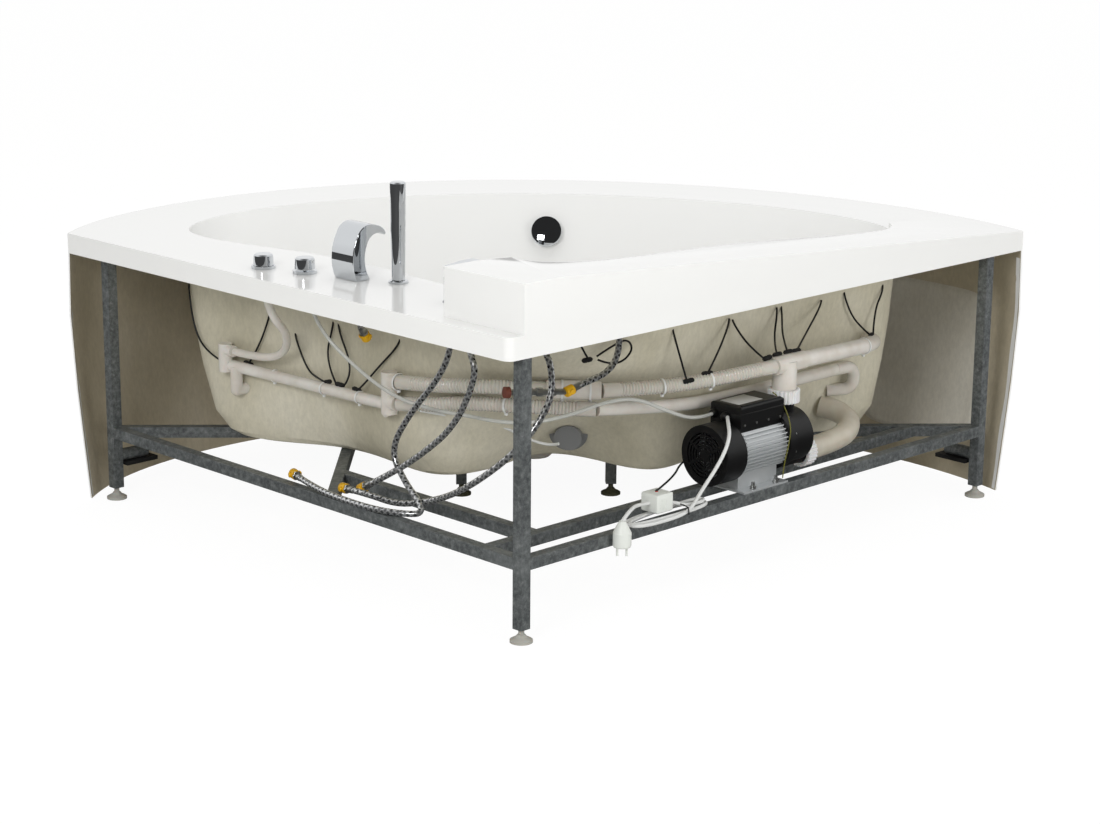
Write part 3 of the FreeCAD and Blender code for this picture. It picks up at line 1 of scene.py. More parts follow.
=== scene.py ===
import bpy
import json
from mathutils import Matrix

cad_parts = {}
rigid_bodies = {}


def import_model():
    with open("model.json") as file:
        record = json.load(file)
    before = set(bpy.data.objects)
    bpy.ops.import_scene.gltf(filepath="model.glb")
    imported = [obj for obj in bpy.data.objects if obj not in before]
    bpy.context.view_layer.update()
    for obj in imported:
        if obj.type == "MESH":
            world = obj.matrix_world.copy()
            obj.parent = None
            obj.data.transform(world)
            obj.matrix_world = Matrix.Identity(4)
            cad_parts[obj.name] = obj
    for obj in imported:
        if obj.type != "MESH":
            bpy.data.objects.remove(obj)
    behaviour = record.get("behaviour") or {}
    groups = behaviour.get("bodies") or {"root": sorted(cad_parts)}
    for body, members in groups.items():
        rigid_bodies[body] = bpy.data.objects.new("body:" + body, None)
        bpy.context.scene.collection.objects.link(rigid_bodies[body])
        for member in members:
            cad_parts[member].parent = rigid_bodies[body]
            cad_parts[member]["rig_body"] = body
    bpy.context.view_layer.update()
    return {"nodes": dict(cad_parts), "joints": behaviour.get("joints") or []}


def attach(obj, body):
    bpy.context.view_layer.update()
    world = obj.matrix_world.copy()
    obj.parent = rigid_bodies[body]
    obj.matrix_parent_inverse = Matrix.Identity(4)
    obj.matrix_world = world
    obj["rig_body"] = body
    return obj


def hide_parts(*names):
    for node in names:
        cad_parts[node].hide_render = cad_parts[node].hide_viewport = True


bl_info = {
    "name": "Corner bathtub from behind",
    "version": (1, 0, 0),
    "blender": (4, 5, 0),
    "location": "View3D > Sidebar > Bathtub",
    "description": "Dresses the packed corner bathtub: shell, frame, taps, pump, pipes and leads",
    "category": "Object",
}

import json
import math

import bmesh
import bpy
import numpy as np
from bpy.props import FloatProperty, FloatVectorProperty, PointerProperty
from mathutils import Matrix, Vector
from mathutils.bvhtree import BVHTree

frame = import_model()

# Corner frame: a runs along the tap wall and b along the pump wall, both in millimetres from the
# room corner, and z is the height above the floor.
CORNER_X = 69.2964645563
CORNER_Y = 918.4130828879
HALF_ROOT = math.sqrt(0.5)
METRE = 1000.0
BODY = "bath"


def place(points):
    """Corner-frame millimetres to row-frame metres: x = cx + (a - b)/sqrt 2 and
    y = cy - (a + b)/sqrt 2, with the height kept."""
    p = np.asarray(points, float)
    a, b, z = p[..., 0], p[..., 1], p[..., 2]
    return np.stack([CORNER_X + HALF_ROOT * (a - b), CORNER_Y - HALF_ROOT * (a + b), z], -1) / METRE


def aim(direction):
    """A corner-frame direction turned into the row frame, one unit long."""
    a, b, z = direction
    v = np.array([HALF_ROOT * (a - b), -HALF_ROOT * (a + b), z], float)
    return v / np.linalg.norm(v)


ALONG_PUMP = (0, 1, 0)
UP = (0, 0, 1)
DECK = 622.0


# ---------------------------------------------------------------- materials
def srgb(text):
    """A sRGB hex colour as linear red, green, blue and alpha."""
    value = np.array([int(text[i:i + 2], 16) for i in (1, 3, 5)]) / 255.0
    linear = np.where(value <= 0.04045, value / 12.92, ((value + 0.055) / 1.055) ** 2.4)
    return (*linear.tolist(), 1.0)


def add(tree, kind, inputs=None, **settings):
    """One shader node with its settings, its plain values and its links."""
    node = tree.nodes.new(kind)
    for key, value in settings.items():
        setattr(node, key, value)
    for key, value in (inputs or {}).items():
        if isinstance(value, bpy.types.NodeSocket):
            tree.links.new(value, node.inputs[key])
        else:
            node.inputs[key].default_value = value
    return node


def surface(name, colour, roughness, metallic=0.0, **sockets):
    """A named material with its shader's own values set directly."""
    material = bpy.data.materials.new(name)
    material.use_nodes = True
    shader = material.node_tree.nodes["Principled BSDF"]
    shader.inputs["Base Color"].default_value = srgb(colour)
    shader.inputs["Roughness"].default_value = roughness
    shader.inputs["Metallic"].default_value = metallic
    for key, value in sockets.items():
        shader.inputs[key.replace("_", " ")].default_value = value
    return material, material.node_tree, shader


def patch_noise(tree, size_mm, detail=4.0, stretch=(1.0, 1.0, 1.0), rough=0.55):
    """Noise on Object coordinates whose blotches are about size_mm across."""
    coordinates = add(tree, "ShaderNodeTexCoord")
    scale = [METRE / size_mm * part for part in stretch]
    mapping = add(tree, "ShaderNodeMapping", {"Vector": coordinates.outputs["Object"],
                                              "Scale": scale})
    return add(tree, "ShaderNodeTexNoise", {"Vector": mapping.outputs["Vector"], "Scale": 1.0,
                                            "Detail": detail, "Roughness": rough})


def ramp(tree, factor, stops):
    """A colour ramp through (position, sRGB hex) stops."""
    node = add(tree, "ShaderNodeValToRGB", {"Fac": factor})
    elements = node.color_ramp.elements
    while len(elements) < len(stops):
        elements.new(0.5)
    for element, (position, colour) in zip(elements, stops):
        element.position = position
        element.color = srgb(colour)
    return node.outputs["Color"]


def bump(tree, shader, height, depth_mm, strength=1.0):
    """Lets a pattern lift the surface by a real depth."""
    node = add(tree, "ShaderNodeBump", {"Height": height, "Distance": depth_mm / METRE,
                                        "Strength": strength})
    tree.links.new(node.outputs["Normal"], shader.inputs["Normal"])


def blend_colours(tree, factor, first, second, kind="MIX"):
    """Two colours mixed or multiplied; each may be a value or another node's output."""
    node = add(tree, "ShaderNodeMix", data_type="RGBA", blend_type=kind)
    for index, value in ((0, factor), (6, first), (7, second)):
        if isinstance(value, bpy.types.NodeSocket):
            tree.links.new(value, node.inputs[index])
        else:
            node.inputs[index].default_value = value
    return node.outputs[2]


def make_acrylic():
    # Vacuum-formed sanitary acrylic: hard, even, with a deep wet gloss.
    return surface("sanitary_acrylic", "#f4f4f2", 0.09, IOR=1.49)[0]


def make_glass_fibre(name, low, middle, high):
    # Sprayed glass-fibre laminate on the back of the acrylic: matt, cream, uneven, with strands.
    material, tree, shader = surface(name, middle, 0.62, Specular_IOR_Level=0.35)
    blotch = patch_noise(tree, size_mm=260, detail=5, stretch=(1, 1, 0.7))
    strands = patch_noise(tree, size_mm=9, detail=4, stretch=(1, 1, 0.5), rough=0.7)
    tone = ramp(tree, blotch.outputs["Fac"], [(0.3, low), (0.5, middle), (0.7, high)])
    thread = ramp(tree, strands.outputs["Fac"], [(0.35, "#e2e2e2"), (0.65, "#ffffff")])
    mixed = blend_colours(tree, 0.5, tone, thread, "MULTIPLY")
    tree.links.new(mixed, shader.inputs["Base Color"])
    bump(tree, shader, strands.outputs["Fac"], depth_mm=0.9, strength=0.55)
    return material


def make_galvanised():
    # Hot-dip zinc on square steel tube: mid grey, blotched spangle, white bloom in places.
    material, tree, shader = surface("galvanised_steel", "#7a8083", 0.44, 0.5)
    spangle = patch_noise(tree, size_mm=11, detail=6, rough=0.75)
    bloom = patch_noise(tree, size_mm=95, detail=5)
    tone = ramp(tree, spangle.outputs["Fac"],
                [(0.30, "#4a4e4f"), (0.48, "#6c7071"), (0.62, "#868a89"), (0.78, "#b1b4b2")])
    pale = ramp(tree, bloom.outputs["Fac"], [(0.52, "#000000"), (0.74, "#9a9a9a")])
    mixed = blend_colours(tree, pale, tone, srgb("#a9aeae"))
    tree.links.new(mixed, shader.inputs["Base Color"])
    worn = add(tree, "ShaderNodeMapRange", {"Value": spangle.outputs["Fac"], "To Min": 0.34,
                                            "To Max": 0.62})
    tree.links.new(worn.outputs["Result"], shader.inputs["Roughness"])
    bump(tree, shader, spangle.outputs["Fac"], depth_mm=0.25, strength=0.5)
    return material


def make_chrome():
    # Bright nickel-chrome plate: a mirror with a faint blue cast.
    return surface("chrome_plate", "#cdd0d3", 0.03, 1.0)[0]


def make_pvc(name, colour, roughness=0.22):
    # Solvent-welded rigid PVC: white with a warm cast and a soft moulded gloss.
    material, tree, shader = surface(name, colour, roughness, IOR=1.53,
                                     Subsurface_Weight=0.08, Subsurface_Scale=0.004)
    cloud = patch_noise(tree, size_mm=60, detail=3)
    tone = ramp(tree, cloud.outputs["Fac"], [(0.35, "#eeeae4"), (0.65, "#ffffff")])
    tree.links.new(blend_colours(tree, 0.8, srgb(colour), tone, "MULTIPLY"),
                   shader.inputs["Base Color"])
    return material


def make_hose_wall():
    # Flexible ribbed PVC hose: milky, half clear, glossy rib by rib.
    return surface("milky_hose", "#c9c4ba", 0.16, IOR=1.5, Subsurface_Weight=0.15,
                   Subsurface_Scale=0.003, Coat_Weight=0.6, Coat_Roughness=0.06)[0]


def make_clear_hose():
    # Soft clear PVC tube gone slightly milky.
    return surface("clear_tube", "#c9cac5", 0.12, IOR=1.5, Alpha=0.72)[0]


def make_black(name, colour, roughness, grain_mm=0.0):
    # Moulded black nylon and ABS: near black, satin, with a fine spark-eroded grain.
    material, tree, shader = surface(name, colour, roughness, IOR=1.5)
    if grain_mm:
        grain = patch_noise(tree, grain_mm, detail=2)
        bump(tree, shader, grain.outputs["Fac"], depth_mm=0.12, strength=0.5)
    return material


def make_cast(name, colour, roughness, metallic=0.85, grain_mm=2.0):
    # Die-cast aluminium and bright zinc: pale grey with a sandy skin.
    material, tree, shader = surface(name, colour, roughness, metallic)
    grain = patch_noise(tree, grain_mm, detail=3)
    bump(tree, shader, grain.outputs["Fac"], depth_mm=0.15, strength=0.45)
    return material


# Braid: bundles that start round the hose, millimetres from lay to lay and from dash to dash.
BRAID_STARTS = 6.0
BRAID_LAY = 7.0
BRAID_DASH = 21.0


def make_braid():
    # Stainless wire braid, its lay drawn coarser than real so that it shows: crossing bundles
    # painted paler on their crowns as a painted sheen and darker in the gaps between them as
    # painted shade, and a black marker thread that shows as dashes.
    material, tree, shader = surface("steel_braid", "#b9bbbc", 0.3, 0.9)
    uv = add(tree, "ShaderNodeUVMap", uv_map="tube")
    split = add(tree, "ShaderNodeSeparateXYZ", {"Vector": uv.outputs["UV"]})
    around = add(tree, "ShaderNodeMath", {0: split.outputs["X"], 1: BRAID_STARTS},
                 operation="MULTIPLY")
    along = add(tree, "ShaderNodeMath", {0: split.outputs["Y"], 1: METRE / BRAID_LAY},
                operation="MULTIPLY")
    weave = []
    for sign in ("ADD", "SUBTRACT"):
        turn = add(tree, "ShaderNodeMath", {0: along.outputs[0], 1: around.outputs[0]},
                   operation=sign)
        weave.append(add(tree, "ShaderNodeMath", {0: turn.outputs[0], 1: 1.0},
                         operation="PINGPONG"))
    peak = add(tree, "ShaderNodeMath", {0: weave[0].outputs[0], 1: weave[1].outputs[0]},
               operation="MAXIMUM")
    # Colour follows the weave's height: painted shade in the gaps, painted sheen on the crowns.
    tone = ramp(tree, peak.outputs[0], [(0.3, "#77787a"), (0.62, "#b2b4b5"), (0.9, "#e6e7e7")])
    dash_along = add(tree, "ShaderNodeMath", {0: split.outputs["Y"], 1: METRE / BRAID_DASH},
                     operation="MULTIPLY")
    dash_share = add(tree, "ShaderNodeMath", {0: dash_along.outputs[0], 1: split.outputs["X"]},
                     operation="ADD")
    dash_place = add(tree, "ShaderNodeMath", {0: dash_share.outputs[0]}, operation="FRACT")
    dash = add(tree, "ShaderNodeMath", {0: dash_place.outputs[0], 1: 0.2}, operation="LESS_THAN")
    stripe_turn = add(tree, "ShaderNodeMath", {0: around.outputs[0], 1: 0.5}, operation="MULTIPLY")
    stripe_place = add(tree, "ShaderNodeMath", {0: stripe_turn.outputs[0]}, operation="FRACT")
    stripe = add(tree, "ShaderNodeMath", {0: stripe_place.outputs[0], 1: 0.3},
                 operation="LESS_THAN")
    mark = add(tree, "ShaderNodeMath", {0: dash.outputs[0], 1: stripe.outputs[0]},
               operation="MULTIPLY")
    mixed = blend_colours(tree, mark.outputs[0], tone, srgb("#1c1c1e"))
    tree.links.new(mixed, shader.inputs["Base Color"])
    bump(tree, shader, peak.outputs[0], depth_mm=0.35, strength=0.8)
    return material


def make_plain(name, colour, roughness, **sockets):
    # Moulded or painted pieces of one even colour.
    return surface(name, colour, roughness, **sockets)[0]


M = {}


def make_materials(look):
    """Fills the table of finishes; the acrylic takes its colour from the panel's setting."""
    acrylic = make_acrylic()
    acrylic.node_tree.nodes["Principled BSDF"].inputs["Base Color"].default_value = (
        *look.acrylic, 1.0)
    M.update(
        acrylic=acrylic,
        fibre=make_glass_fibre("glass_fibre_bowl", "#b9b39d", "#ccc6b1", "#d8d3c1"),
        fibre_dark=make_glass_fibre("glass_fibre_panel", "#b1a68e", "#c4b9a1", "#d0c6b0"),
        fibre_field=make_glass_fibre("glass_fibre_field", "#c9c3b5", "#d6d1c4", "#e0dcd0"),
        galvanised=make_galvanised(),
        chrome=make_chrome(),
        pvc=make_pvc("rigid_pvc", "#dcd8d1"),
        pvc_white=make_pvc("white_pvc_nut", "#e8e9ea", 0.3),
        hose=make_hose_wall(),
        smooth_hose=make_pvc("smooth_hose", "#cbc5b6", 0.35),
        clear=make_clear_hose(),
        black=make_black("black_housing", "#060607", 0.45, 1.6),
        black_gloss=make_black("black_lid", "#060607", 0.42),
        fins=make_cast("die_cast_fins", "#d6d9da", 0.4, 0.6),
        steel=make_cast("zinc_plated_steel", "#b4b5b3", 0.28, 0.95, 3.0),
        braid=make_braid(),
        yellow=make_plain("yellow_cap", "#e3ad0c", 0.38),
        foot=make_pvc("foot_nylon", "#b3b2ab", 0.5),
        # Front feet: the foot nylon darkened as painted shade, for they stand in the frame's
        # shadow.
        foot_dark=make_plain("foot_nylon_painted_shade", "#4a4a38", 0.55),
        rubber=make_black("rubber", "#1a1a1a", 0.75, 2.5),
        lead=make_plain("black_lead", "#101012", 0.42),
        cable=make_plain("white_cable", "#dfe0de", 0.36),
        cable_box=make_plain("white_abs", "#e3e6e0", 0.4),
        grey=make_plain("grey_abs", "#7e7f7f", 0.45),
        label=make_plain("bare_foil_plate", "#b9b9b5", 0.45),
        red=make_plain("red_indicator", "#b3261c", 0.3),
        collar=make_plain("red_fibre_collar", "#6e3a2c", 0.55),
        earth=make_plain("earth_lead", "#6f6d24", 0.42),
    )


# ---------------------------------------------------------------- shapes
def own(piece, body, slot, *nodes):
    """The piece rides on its body and stands for CAD nodes; its slot is not used."""
    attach(piece, body)
    if nodes:
        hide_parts(*nodes)
    return piece


def link(name, data, *materials):
    """A new object in the scene with its materials in order."""
    piece = bpy.data.objects.new(name, data)
    bpy.context.scene.collection.objects.link(piece)
    for material in materials:
        data.materials.append(material)
    return piece


def grid_mesh(name, points, along=None, close_rows=False, ends=True, wrap=True):
    """A surface from a grid of points: rows run along the piece, columns go round it.  The map
    named tube holds the share of a turn and the distance along in metres."""
    rows, columns = points.shape[:2]
    index = np.arange(rows * columns).reshape(rows, columns)
    if close_rows:
        index = np.vstack([index, index[:1]])
        ends = False
    left = index if wrap else index[:, :-1]
    right = np.roll(index, -1, axis=1) if wrap else index[:, 1:]
    quads = np.stack([left[:-1], right[:-1], right[1:], left[1:]], -1).reshape(-1, 4)
    faces = quads.tolist()
    if ends and wrap:
        faces += [index[0][::-1].tolist(), index[-1].tolist()]
    mesh = bpy.data.meshes.new(name)
    mesh.from_pydata(points.reshape(-1, 3).tolist(), [], faces)
    mesh.polygons.foreach_set("use_smooth", np.ones(len(faces), bool))
    if along is not None:
        turns = np.arange(left.shape[1]) / columns
        low = np.stack(np.broadcast_arrays(turns[None, :], along[:-1, None]), -1)
        high = np.stack(np.broadcast_arrays(turns[None, :], along[1:, None]), -1)
        step = np.array([1.0 / columns, 0.0])
        uv = np.stack([low, low + step, high + step, high], 2).reshape(-1, 2)
        layer = mesh.uv_layers.new(name="tube")
        full = np.zeros((len(mesh.loops), 2), np.float32)
        full[:len(uv)] = uv
        layer.data.foreach_set("uv", full.ravel())
    mesh.update()
    return mesh


def mark_sharp(bm, degrees):
    """Open edges, and edges sharper than an angle, stop the smooth shading."""
    limit = math.radians(degrees)
    for edge in bm.edges:
        edge.smooth = len(edge.link_faces) == 2 and edge.calc_face_angle(0.0) < limit


def crease(mesh, degrees=38.0):
    """The mesh with its sharp edges marked."""
    bm = bmesh.new()
    bm.from_mesh(mesh)
    mark_sharp(bm, degrees)
    bm.to_mesh(mesh)
    bm.free()
    return mesh


def side_frames(points):
    """Directions along a path and two sides of it, carried along without twist: each side is
    the last one with its part along the path taken off."""
    along = np.gradient(points, axis=0)
    along /= np.linalg.norm(along, axis=1, keepdims=True)
    start = np.cross(along[0], [0.0, 0.0, 1.0])
    if np.linalg.norm(start) < 0.1:
        start = np.cross(along[0], [1.0, 0.0, 0.0])
    sides = [start / np.linalg.norm(start)]
    for direction in along[1:]:
        side = sides[-1] - direction * (sides[-1] @ direction)
        sides.append(side / np.linalg.norm(side))
    side = np.array(sides)
    return along, side, np.cross(along, side)


def sweep(points, radii, count):
    """Rings round a path: centre + r (cos t side + sin t lift)."""
    along, side, lift = side_frames(points)
    turn = np.linspace(0, 2 * np.pi, count, endpoint=False)
    ring = side[:, None] * np.cos(turn)[None, :, None] + lift[:, None] * np.sin(turn)[None, :, None]
    return points[:, None, :] + ring * np.asarray(radii)[:, None, None]


def spline_curve(name, route):
    """A cord's line: one NURBS spline with the route's points as its control points."""
    curve = bpy.data.curves.new(name, "CURVE")
    curve.dimensions = "3D"
    spline = curve.splines.new("NURBS")
    points = place(route)
    spline.points.add(len(points) - 1)
    spline.points.foreach_set("co", np.hstack([points, np.ones((len(points), 1))]).ravel())
    spline.order_u = 3
    spline.use_endpoint_u = True
    curve.resolution_u = 24
    return curve


def centreline(route):
    """Points read from the route's own NURBS spline."""
    curve = spline_curve("line", route)
    holder = bpy.data.objects.new("line", curve)
    bpy.context.scene.collection.objects.link(holder)
    bpy.context.view_layer.update()
    mesh = bpy.data.meshes.new_from_object(holder)
    points = np.array([vertex.co for vertex in mesh.vertices])
    bpy.data.objects.remove(holder)
    bpy.data.curves.remove(curve)
    bpy.data.meshes.remove(mesh)
    return points


def evenly(points, step):
    """A path cut again into equal steps, with the distance along it."""
    length = np.r_[0, np.cumsum(np.linalg.norm(np.diff(points, axis=0), axis=1))]
    keep = np.r_[True, np.diff(length) > 1e-7]
    count = max(int(length[-1] / step), 4)
    marks = np.linspace(0, length[-1], count + 1)
    path = np.stack([np.interp(marks, length[keep], points[keep, axis]) for axis in range(3)], -1)
    return path, marks


def hose(name, route, radius, material, count=20, step=3.0, rib=None):
    """A tube along its spline.  A ribbed one swells and sinks as a raised cosine, one rib to a
    pitch, between plain cuffs at its ends."""
    path, marks = evenly(centreline(route), step / METRE)
    radii = np.full(len(path), radius / METRE)
    if rib:
        pitch, depth, cuff = (part / METRE for part in rib)
        start = np.clip((marks - cuff) / pitch, 0, 1)
        end = np.clip((marks[-1] - cuff - marks) / pitch, 0, 1)
        radii = radii - depth * start * end * (0.5 + 0.5 * np.cos(2 * np.pi * marks / pitch))
    mesh = grid_mesh(name, sweep(path, radii, count), marks)
    return link(name, crease(mesh, 60), material)


def turned_about(outline, base, axis, count=40):
    """Rings of a turned piece in the row frame: base + height along the axis + radius round it."""
    side = np.cross(axis, [0.0, 0.0, 1.0])
    if np.linalg.norm(side) < 0.1:
        side = np.array([1.0, 0.0, 0.0])
    side /= np.linalg.norm(side)
    lift = np.cross(axis, side)
    outline = np.asarray(outline, float) / METRE
    turn = np.linspace(0, 2 * np.pi, count, endpoint=False)
    ring = side * np.cos(turn)[:, None] + lift * np.sin(turn)[:, None]
    centre = base + axis * outline[:, 1][:, None]
    return centre[:, None, :] + ring[None] * outline[:, 0][:, None, None]


def lathe(outline, base, axis, count=40):
    """Rings of a turned piece whose base and axis are given in the corner frame."""
    return turned_about(outline, place(base), aim(axis), count)


def turned(name, outline, base, axis, material, count=40, closed=False):
    """A turned piece from its outline of (radius, height) points."""
    mesh = grid_mesh(name, lathe(outline, base, axis, count), close_rows=closed)
    return link(name, crease(mesh), material)


def join(name, pieces):
    """One object from several, each keeping its own material."""
    for piece in bpy.context.selected_objects:
        piece.select_set(False)
    for piece in pieces:
        piece.select_set(True)
    bpy.context.view_layer.objects.active = pieces[0]
    bpy.ops.object.join()
    joined = bpy.context.view_layer.objects.active
    joined.name = name
    joined.data.name = name
    joined.select_set(False)
    return joined


def block(name, low, high, material, bevel_mm=1.5, segments=3):
    """A box between two corner-frame points with rounded edges."""
    corners = [(a, b, z) for a in (low[0], high[0]) for b in (low[1], high[1])
               for z in (low[2], high[2])]
    faces = [(0, 1, 3, 2), (4, 6, 7, 5), (0, 4, 5, 1), (2, 3, 7, 6), (0, 2, 6, 4), (1, 5, 7, 3)]
    mesh = bpy.data.meshes.new(name)
    mesh.from_pydata(place(corners).tolist(), [], faces)
    bm = bmesh.new()
    bm.from_mesh(mesh)
    bmesh.ops.recalc_face_normals(bm, faces=bm.faces)
    bmesh.ops.bevel(bm, geom=bm.edges[:], offset=bevel_mm / METRE, segments=segments,
                    affect="EDGES", profile=0.5)
    for face in bm.faces:
        face.smooth = True
    bm.to_mesh(mesh)
    bm.free()
    return link(name, mesh, material)


def merged(name, nodes, degrees=32.0, flatten=False):
    """CAD nodes copied, their loose triangles merged, and shaded smooth up to an angle."""
    bm = bmesh.new()
    for node in nodes:
        bm.from_mesh(frame["nodes"][node].data)
    bmesh.ops.remove_doubles(bm, verts=bm.verts, dist=2e-6)
    if flatten:
        bmesh.ops.dissolve_limit(bm, angle_limit=math.radians(0.5), verts=bm.verts, edges=bm.edges)
    mark_sharp(bm, degrees)
    for face in bm.faces:
        face.smooth = True
        face.material_index = 0
    mesh = bpy.data.meshes.new(name)
    bm.to_mesh(mesh)
    bm.free()
    stale = mesh.attributes.get("custom_normal")
    if stale:
        mesh.attributes.remove(stale)
    return mesh


def dress(node, material, slot, degrees=32.0, round_mm=0.0):
    """A CAD node shown as its merged copy in its real finish, its sharp edges rounded where the
    real piece's are."""
    mesh = merged(node + "_dressed", [node], degrees, round_mm > 0)
    piece = link(node + "_dressed", mesh, M[material])
    if round_mm:
        rounding = piece.modifiers.new("rounded edges", "BEVEL")
        rounding.width = round_mm / METRE
        rounding.segments = 3
        rounding.limit_method = "ANGLE"
        rounding.angle_limit = math.radians(degrees)
        rounding.harden_normals = True
    return own(piece, frame["nodes"][node]["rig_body"], slot, node)


def to_corner(points):
    """Row-frame metres back to corner-frame millimetres: the inverse of place."""
    x = points[:, 0] * METRE - CORNER_X
    y = CORNER_Y - points[:, 1] * METRE
    return (y + x) * HALF_ROOT, (y - x) * HALF_ROOT, points[:, 2] * METRE


# Front curve: its reach along each wall and its greatest bulge past a straight sweep, in
# millimetres, and the powers that skew the bulge towards the tap end and fill it out.
TAP_REACH = 1454
PUMP_REACH = 1650
BULGE = 275
BULGE_SKEW = 0.88
BULGE_FILL = 0.9


def front_reach(angle):
    """Front curve's distance from the room corner: a straight sweep between the two reaches
    and a bulge shaped as a skewed sine."""
    share = np.clip(angle / 90.0, 0, 1)
    bulge = np.maximum(np.sin(np.pi * share ** BULGE_SKEW), 0) ** BULGE_FILL
    return TAP_REACH + (PUMP_REACH - TAP_REACH) * share + BULGE * bulge


def face_rows(mesh):
    """Centres and normals of a mesh's faces, one row a face."""
    rows = np.zeros((2, len(mesh.polygons) * 3))
    mesh.polygons.foreach_get("center", rows[0])
    mesh.polygons.foreach_get("normal", rows[1])
    return rows.reshape(2, -1, 3)


# A spot on the basin's upright middle line (corner frame, mm), and one inside it (row frame, m).
BASIN_LINE = (720, 780, 0)
BASIN_MIDDLE = (0.0, -0.17, 0.60)


def facing_out(centre, normal):
    """How squarely each face looks away from the basin's middle line, as a cosine."""
    outward = centre - place(BASIN_LINE)
    outward[:, 2] = 0
    outward /= np.linalg.norm(outward, axis=1, keepdims=True)
    return (normal * outward).sum(1)


def facing(centre, normal, spot):
    """How squarely each face looks at a spot: the cosine between its normal and the way there."""
    way = np.array(spot) - centre
    return (normal * way).sum(1) / np.linalg.norm(way, axis=1)


def open_above(mesh):
    """Which faces see the ceiling: a ray from just off the face, straight up, meets nothing."""
    tree = BVHTree.FromPolygons([vertex.co for vertex in mesh.vertices],
                                [face.vertices[:] for face in mesh.polygons])
    clear = 1.5 / METRE
    return np.array([tree.ray_cast(face.center + face.normal * clear, Vector(UP))[0] is None
                     for face in mesh.polygons])


# ---------------------------------------------------------------- settings a user would change
class ShellLook(bpy.types.PropertyGroup):
    acrylic: FloatVectorProperty(name="Acrylic", description="Colour of the bath's face",
                                 subtype="COLOR", size=3, min=0, max=1,
                                 default=srgb("#f4f4f2")[:3])


class HoseSizes(bpy.types.PropertyGroup):
    ribbed_radius: FloatProperty(name="Ribbed hose radius", description="Over the ribs, in mm",
                                 default=16.0, min=8, max=30)
    rib_pitch: FloatProperty(name="Rib pitch", description="From rib to rib, in mm", default=7.0,
                             min=2, max=12)
    rib_depth: FloatProperty(name="Rib depth", description="Depth between ribs, in mm",
                             default=2.2, min=0.2, max=4)
    braided_radius: FloatProperty(name="Braided hose radius", description="Over the braid, in mm",
                                  default=6.5, min=4, max=12)
    lead_radius: FloatProperty(name="Lamp lead radius", description="Black leads, in mm",
                               default=2.2, min=1, max=5)
    mains_radius: FloatProperty(name="Mains lead radius", description="White lead, in mm",
                                default=4.0, min=2, max=8)


class StageLight(bpy.types.PropertyGroup):
    key_power: FloatProperty(name="Key lamp", description="Soft box above the camera, in watts",
                             default=76.0, min=0, max=1000)
    sky: FloatProperty(name="Room light", description="Level of the white room", default=0.56,
                       min=0, max=3)


# ---------------------------------------------------------------- shell and panel
# Rounding of the raised corner's edges, how far above the deck they reach at least, the height
# where rim and basin meet, and the widths that count as skirt along a wall and along the front,
# and as rim round the basin, in millimetres.
RAISED_ROUND = 12.0
RAISED_LEAST = 18.0
SEAM_HEIGHT = 576.0
SKIRT_WALL, SKIRT_FRONT = 7, 8
RIM_WALL, RIM_FRONT = 60, 40
# Least cosines by which a face counts as looking into the basin, and as the skirt's outside, and
# the greatest by which one counts as the front panel's inside.
LOOKS_IN = 0.15
SKIRT_OUTSIDE = -0.2
PANEL_INSIDE = -0.35


def drop_seam(bm):
    """Takes out the hidden faces where the rim's moulding meets the basin's."""
    spare = []
    for face in bm.faces:
        centre = face.calc_center_median()
        if abs(centre.z * METRE - SEAM_HEIGHT) < 0.05 and abs(face.normal.z) > 0.99:
            a, b, _ = to_corner(np.array([centre[:]]))
            reach = front_reach(np.degrees(np.arctan2(b, a)))
            if min(a[0], b[0]) > SKIRT_WALL + 2 and np.hypot(a, b)[0] < reach[0] - SKIRT_FRONT - 2:
                spare.append(face)
    bmesh.ops.delete(bm, geom=spare, context="FACES")


def round_raised_corner(bm):
    """Rounds the sharp edges that stand above the deck."""
    bmesh.ops.dissolve_limit(bm, angle_limit=math.radians(0.4), verts=bm.verts, edges=bm.edges)
    raised = []
    for edge in bm.edges:
        heights = [vertex.co.z * METRE for vertex in edge.verts]
        sharp = len(edge.link_faces) == 2 and edge.calc_face_angle(0.0) > 0.7
        if sharp and max(heights) > DECK + RAISED_LEAST and min(heights) > DECK - 0.5:
            raised.append(edge)
    bmesh.ops.bevel(bm, geom=raised, offset=RAISED_ROUND / METRE, segments=5,
                    affect="EDGES", profile=0.5, clamp_overlap=True)


class TUB_OT_shell(bpy.types.Operator):
    """Bath shell: acrylic on every face the bather sees, glass fibre behind"""

    bl_idname = "tub.shell"
    bl_label = "Bath shell"

    def execute(self, context):
        make_materials(context.scene.tub_shell)
        mesh = merged("bath_shell_dressed", ["bath_shell", "bath_bowl"], 28)
        bm = bmesh.new()
        bm.from_mesh(mesh)
        drop_seam(bm)
        round_raised_corner(bm)
        mark_sharp(bm, 28)
        bm.to_mesh(mesh)
        bm.free()
        centre, normal = face_rows(mesh)
        a, b, _ = to_corner(centre)
        radius = np.hypot(a, b)
        reach = front_reach(np.degrees(np.arctan2(b, a)))
        skirt = (a < SKIRT_WALL) | (b < SKIRT_WALL) | (radius > reach - SKIRT_FRONT)
        basin = (np.minimum(a, b) > RIM_WALL) & (radius < reach - RIM_FRONT)
        basin &= facing(centre, normal, BASIN_MIDDLE) > LOOKS_IN
        skirt &= facing_out(centre, normal) > SKIRT_OUTSIDE
        shown = open_above(mesh) | basin | skirt
        mesh.polygons.foreach_set("material_index", np.where(shown, 0, 1).astype(np.int32))
        piece = link("bath_shell_dressed", mesh, M["acrylic"], M["fibre"])
        own(piece, BODY, "acrylic", "bath_shell", "bath_bowl")
        return {"FINISHED"}


# Heights of the front panel and how far it is drawn in there, and its wall, in millimetres.
APRON_LEVELS = np.array([(6, 52), (130, 32.24), (260, 12.48), (430, -4), (575.7, 0.5)])
PANEL_SKIN = 5.0
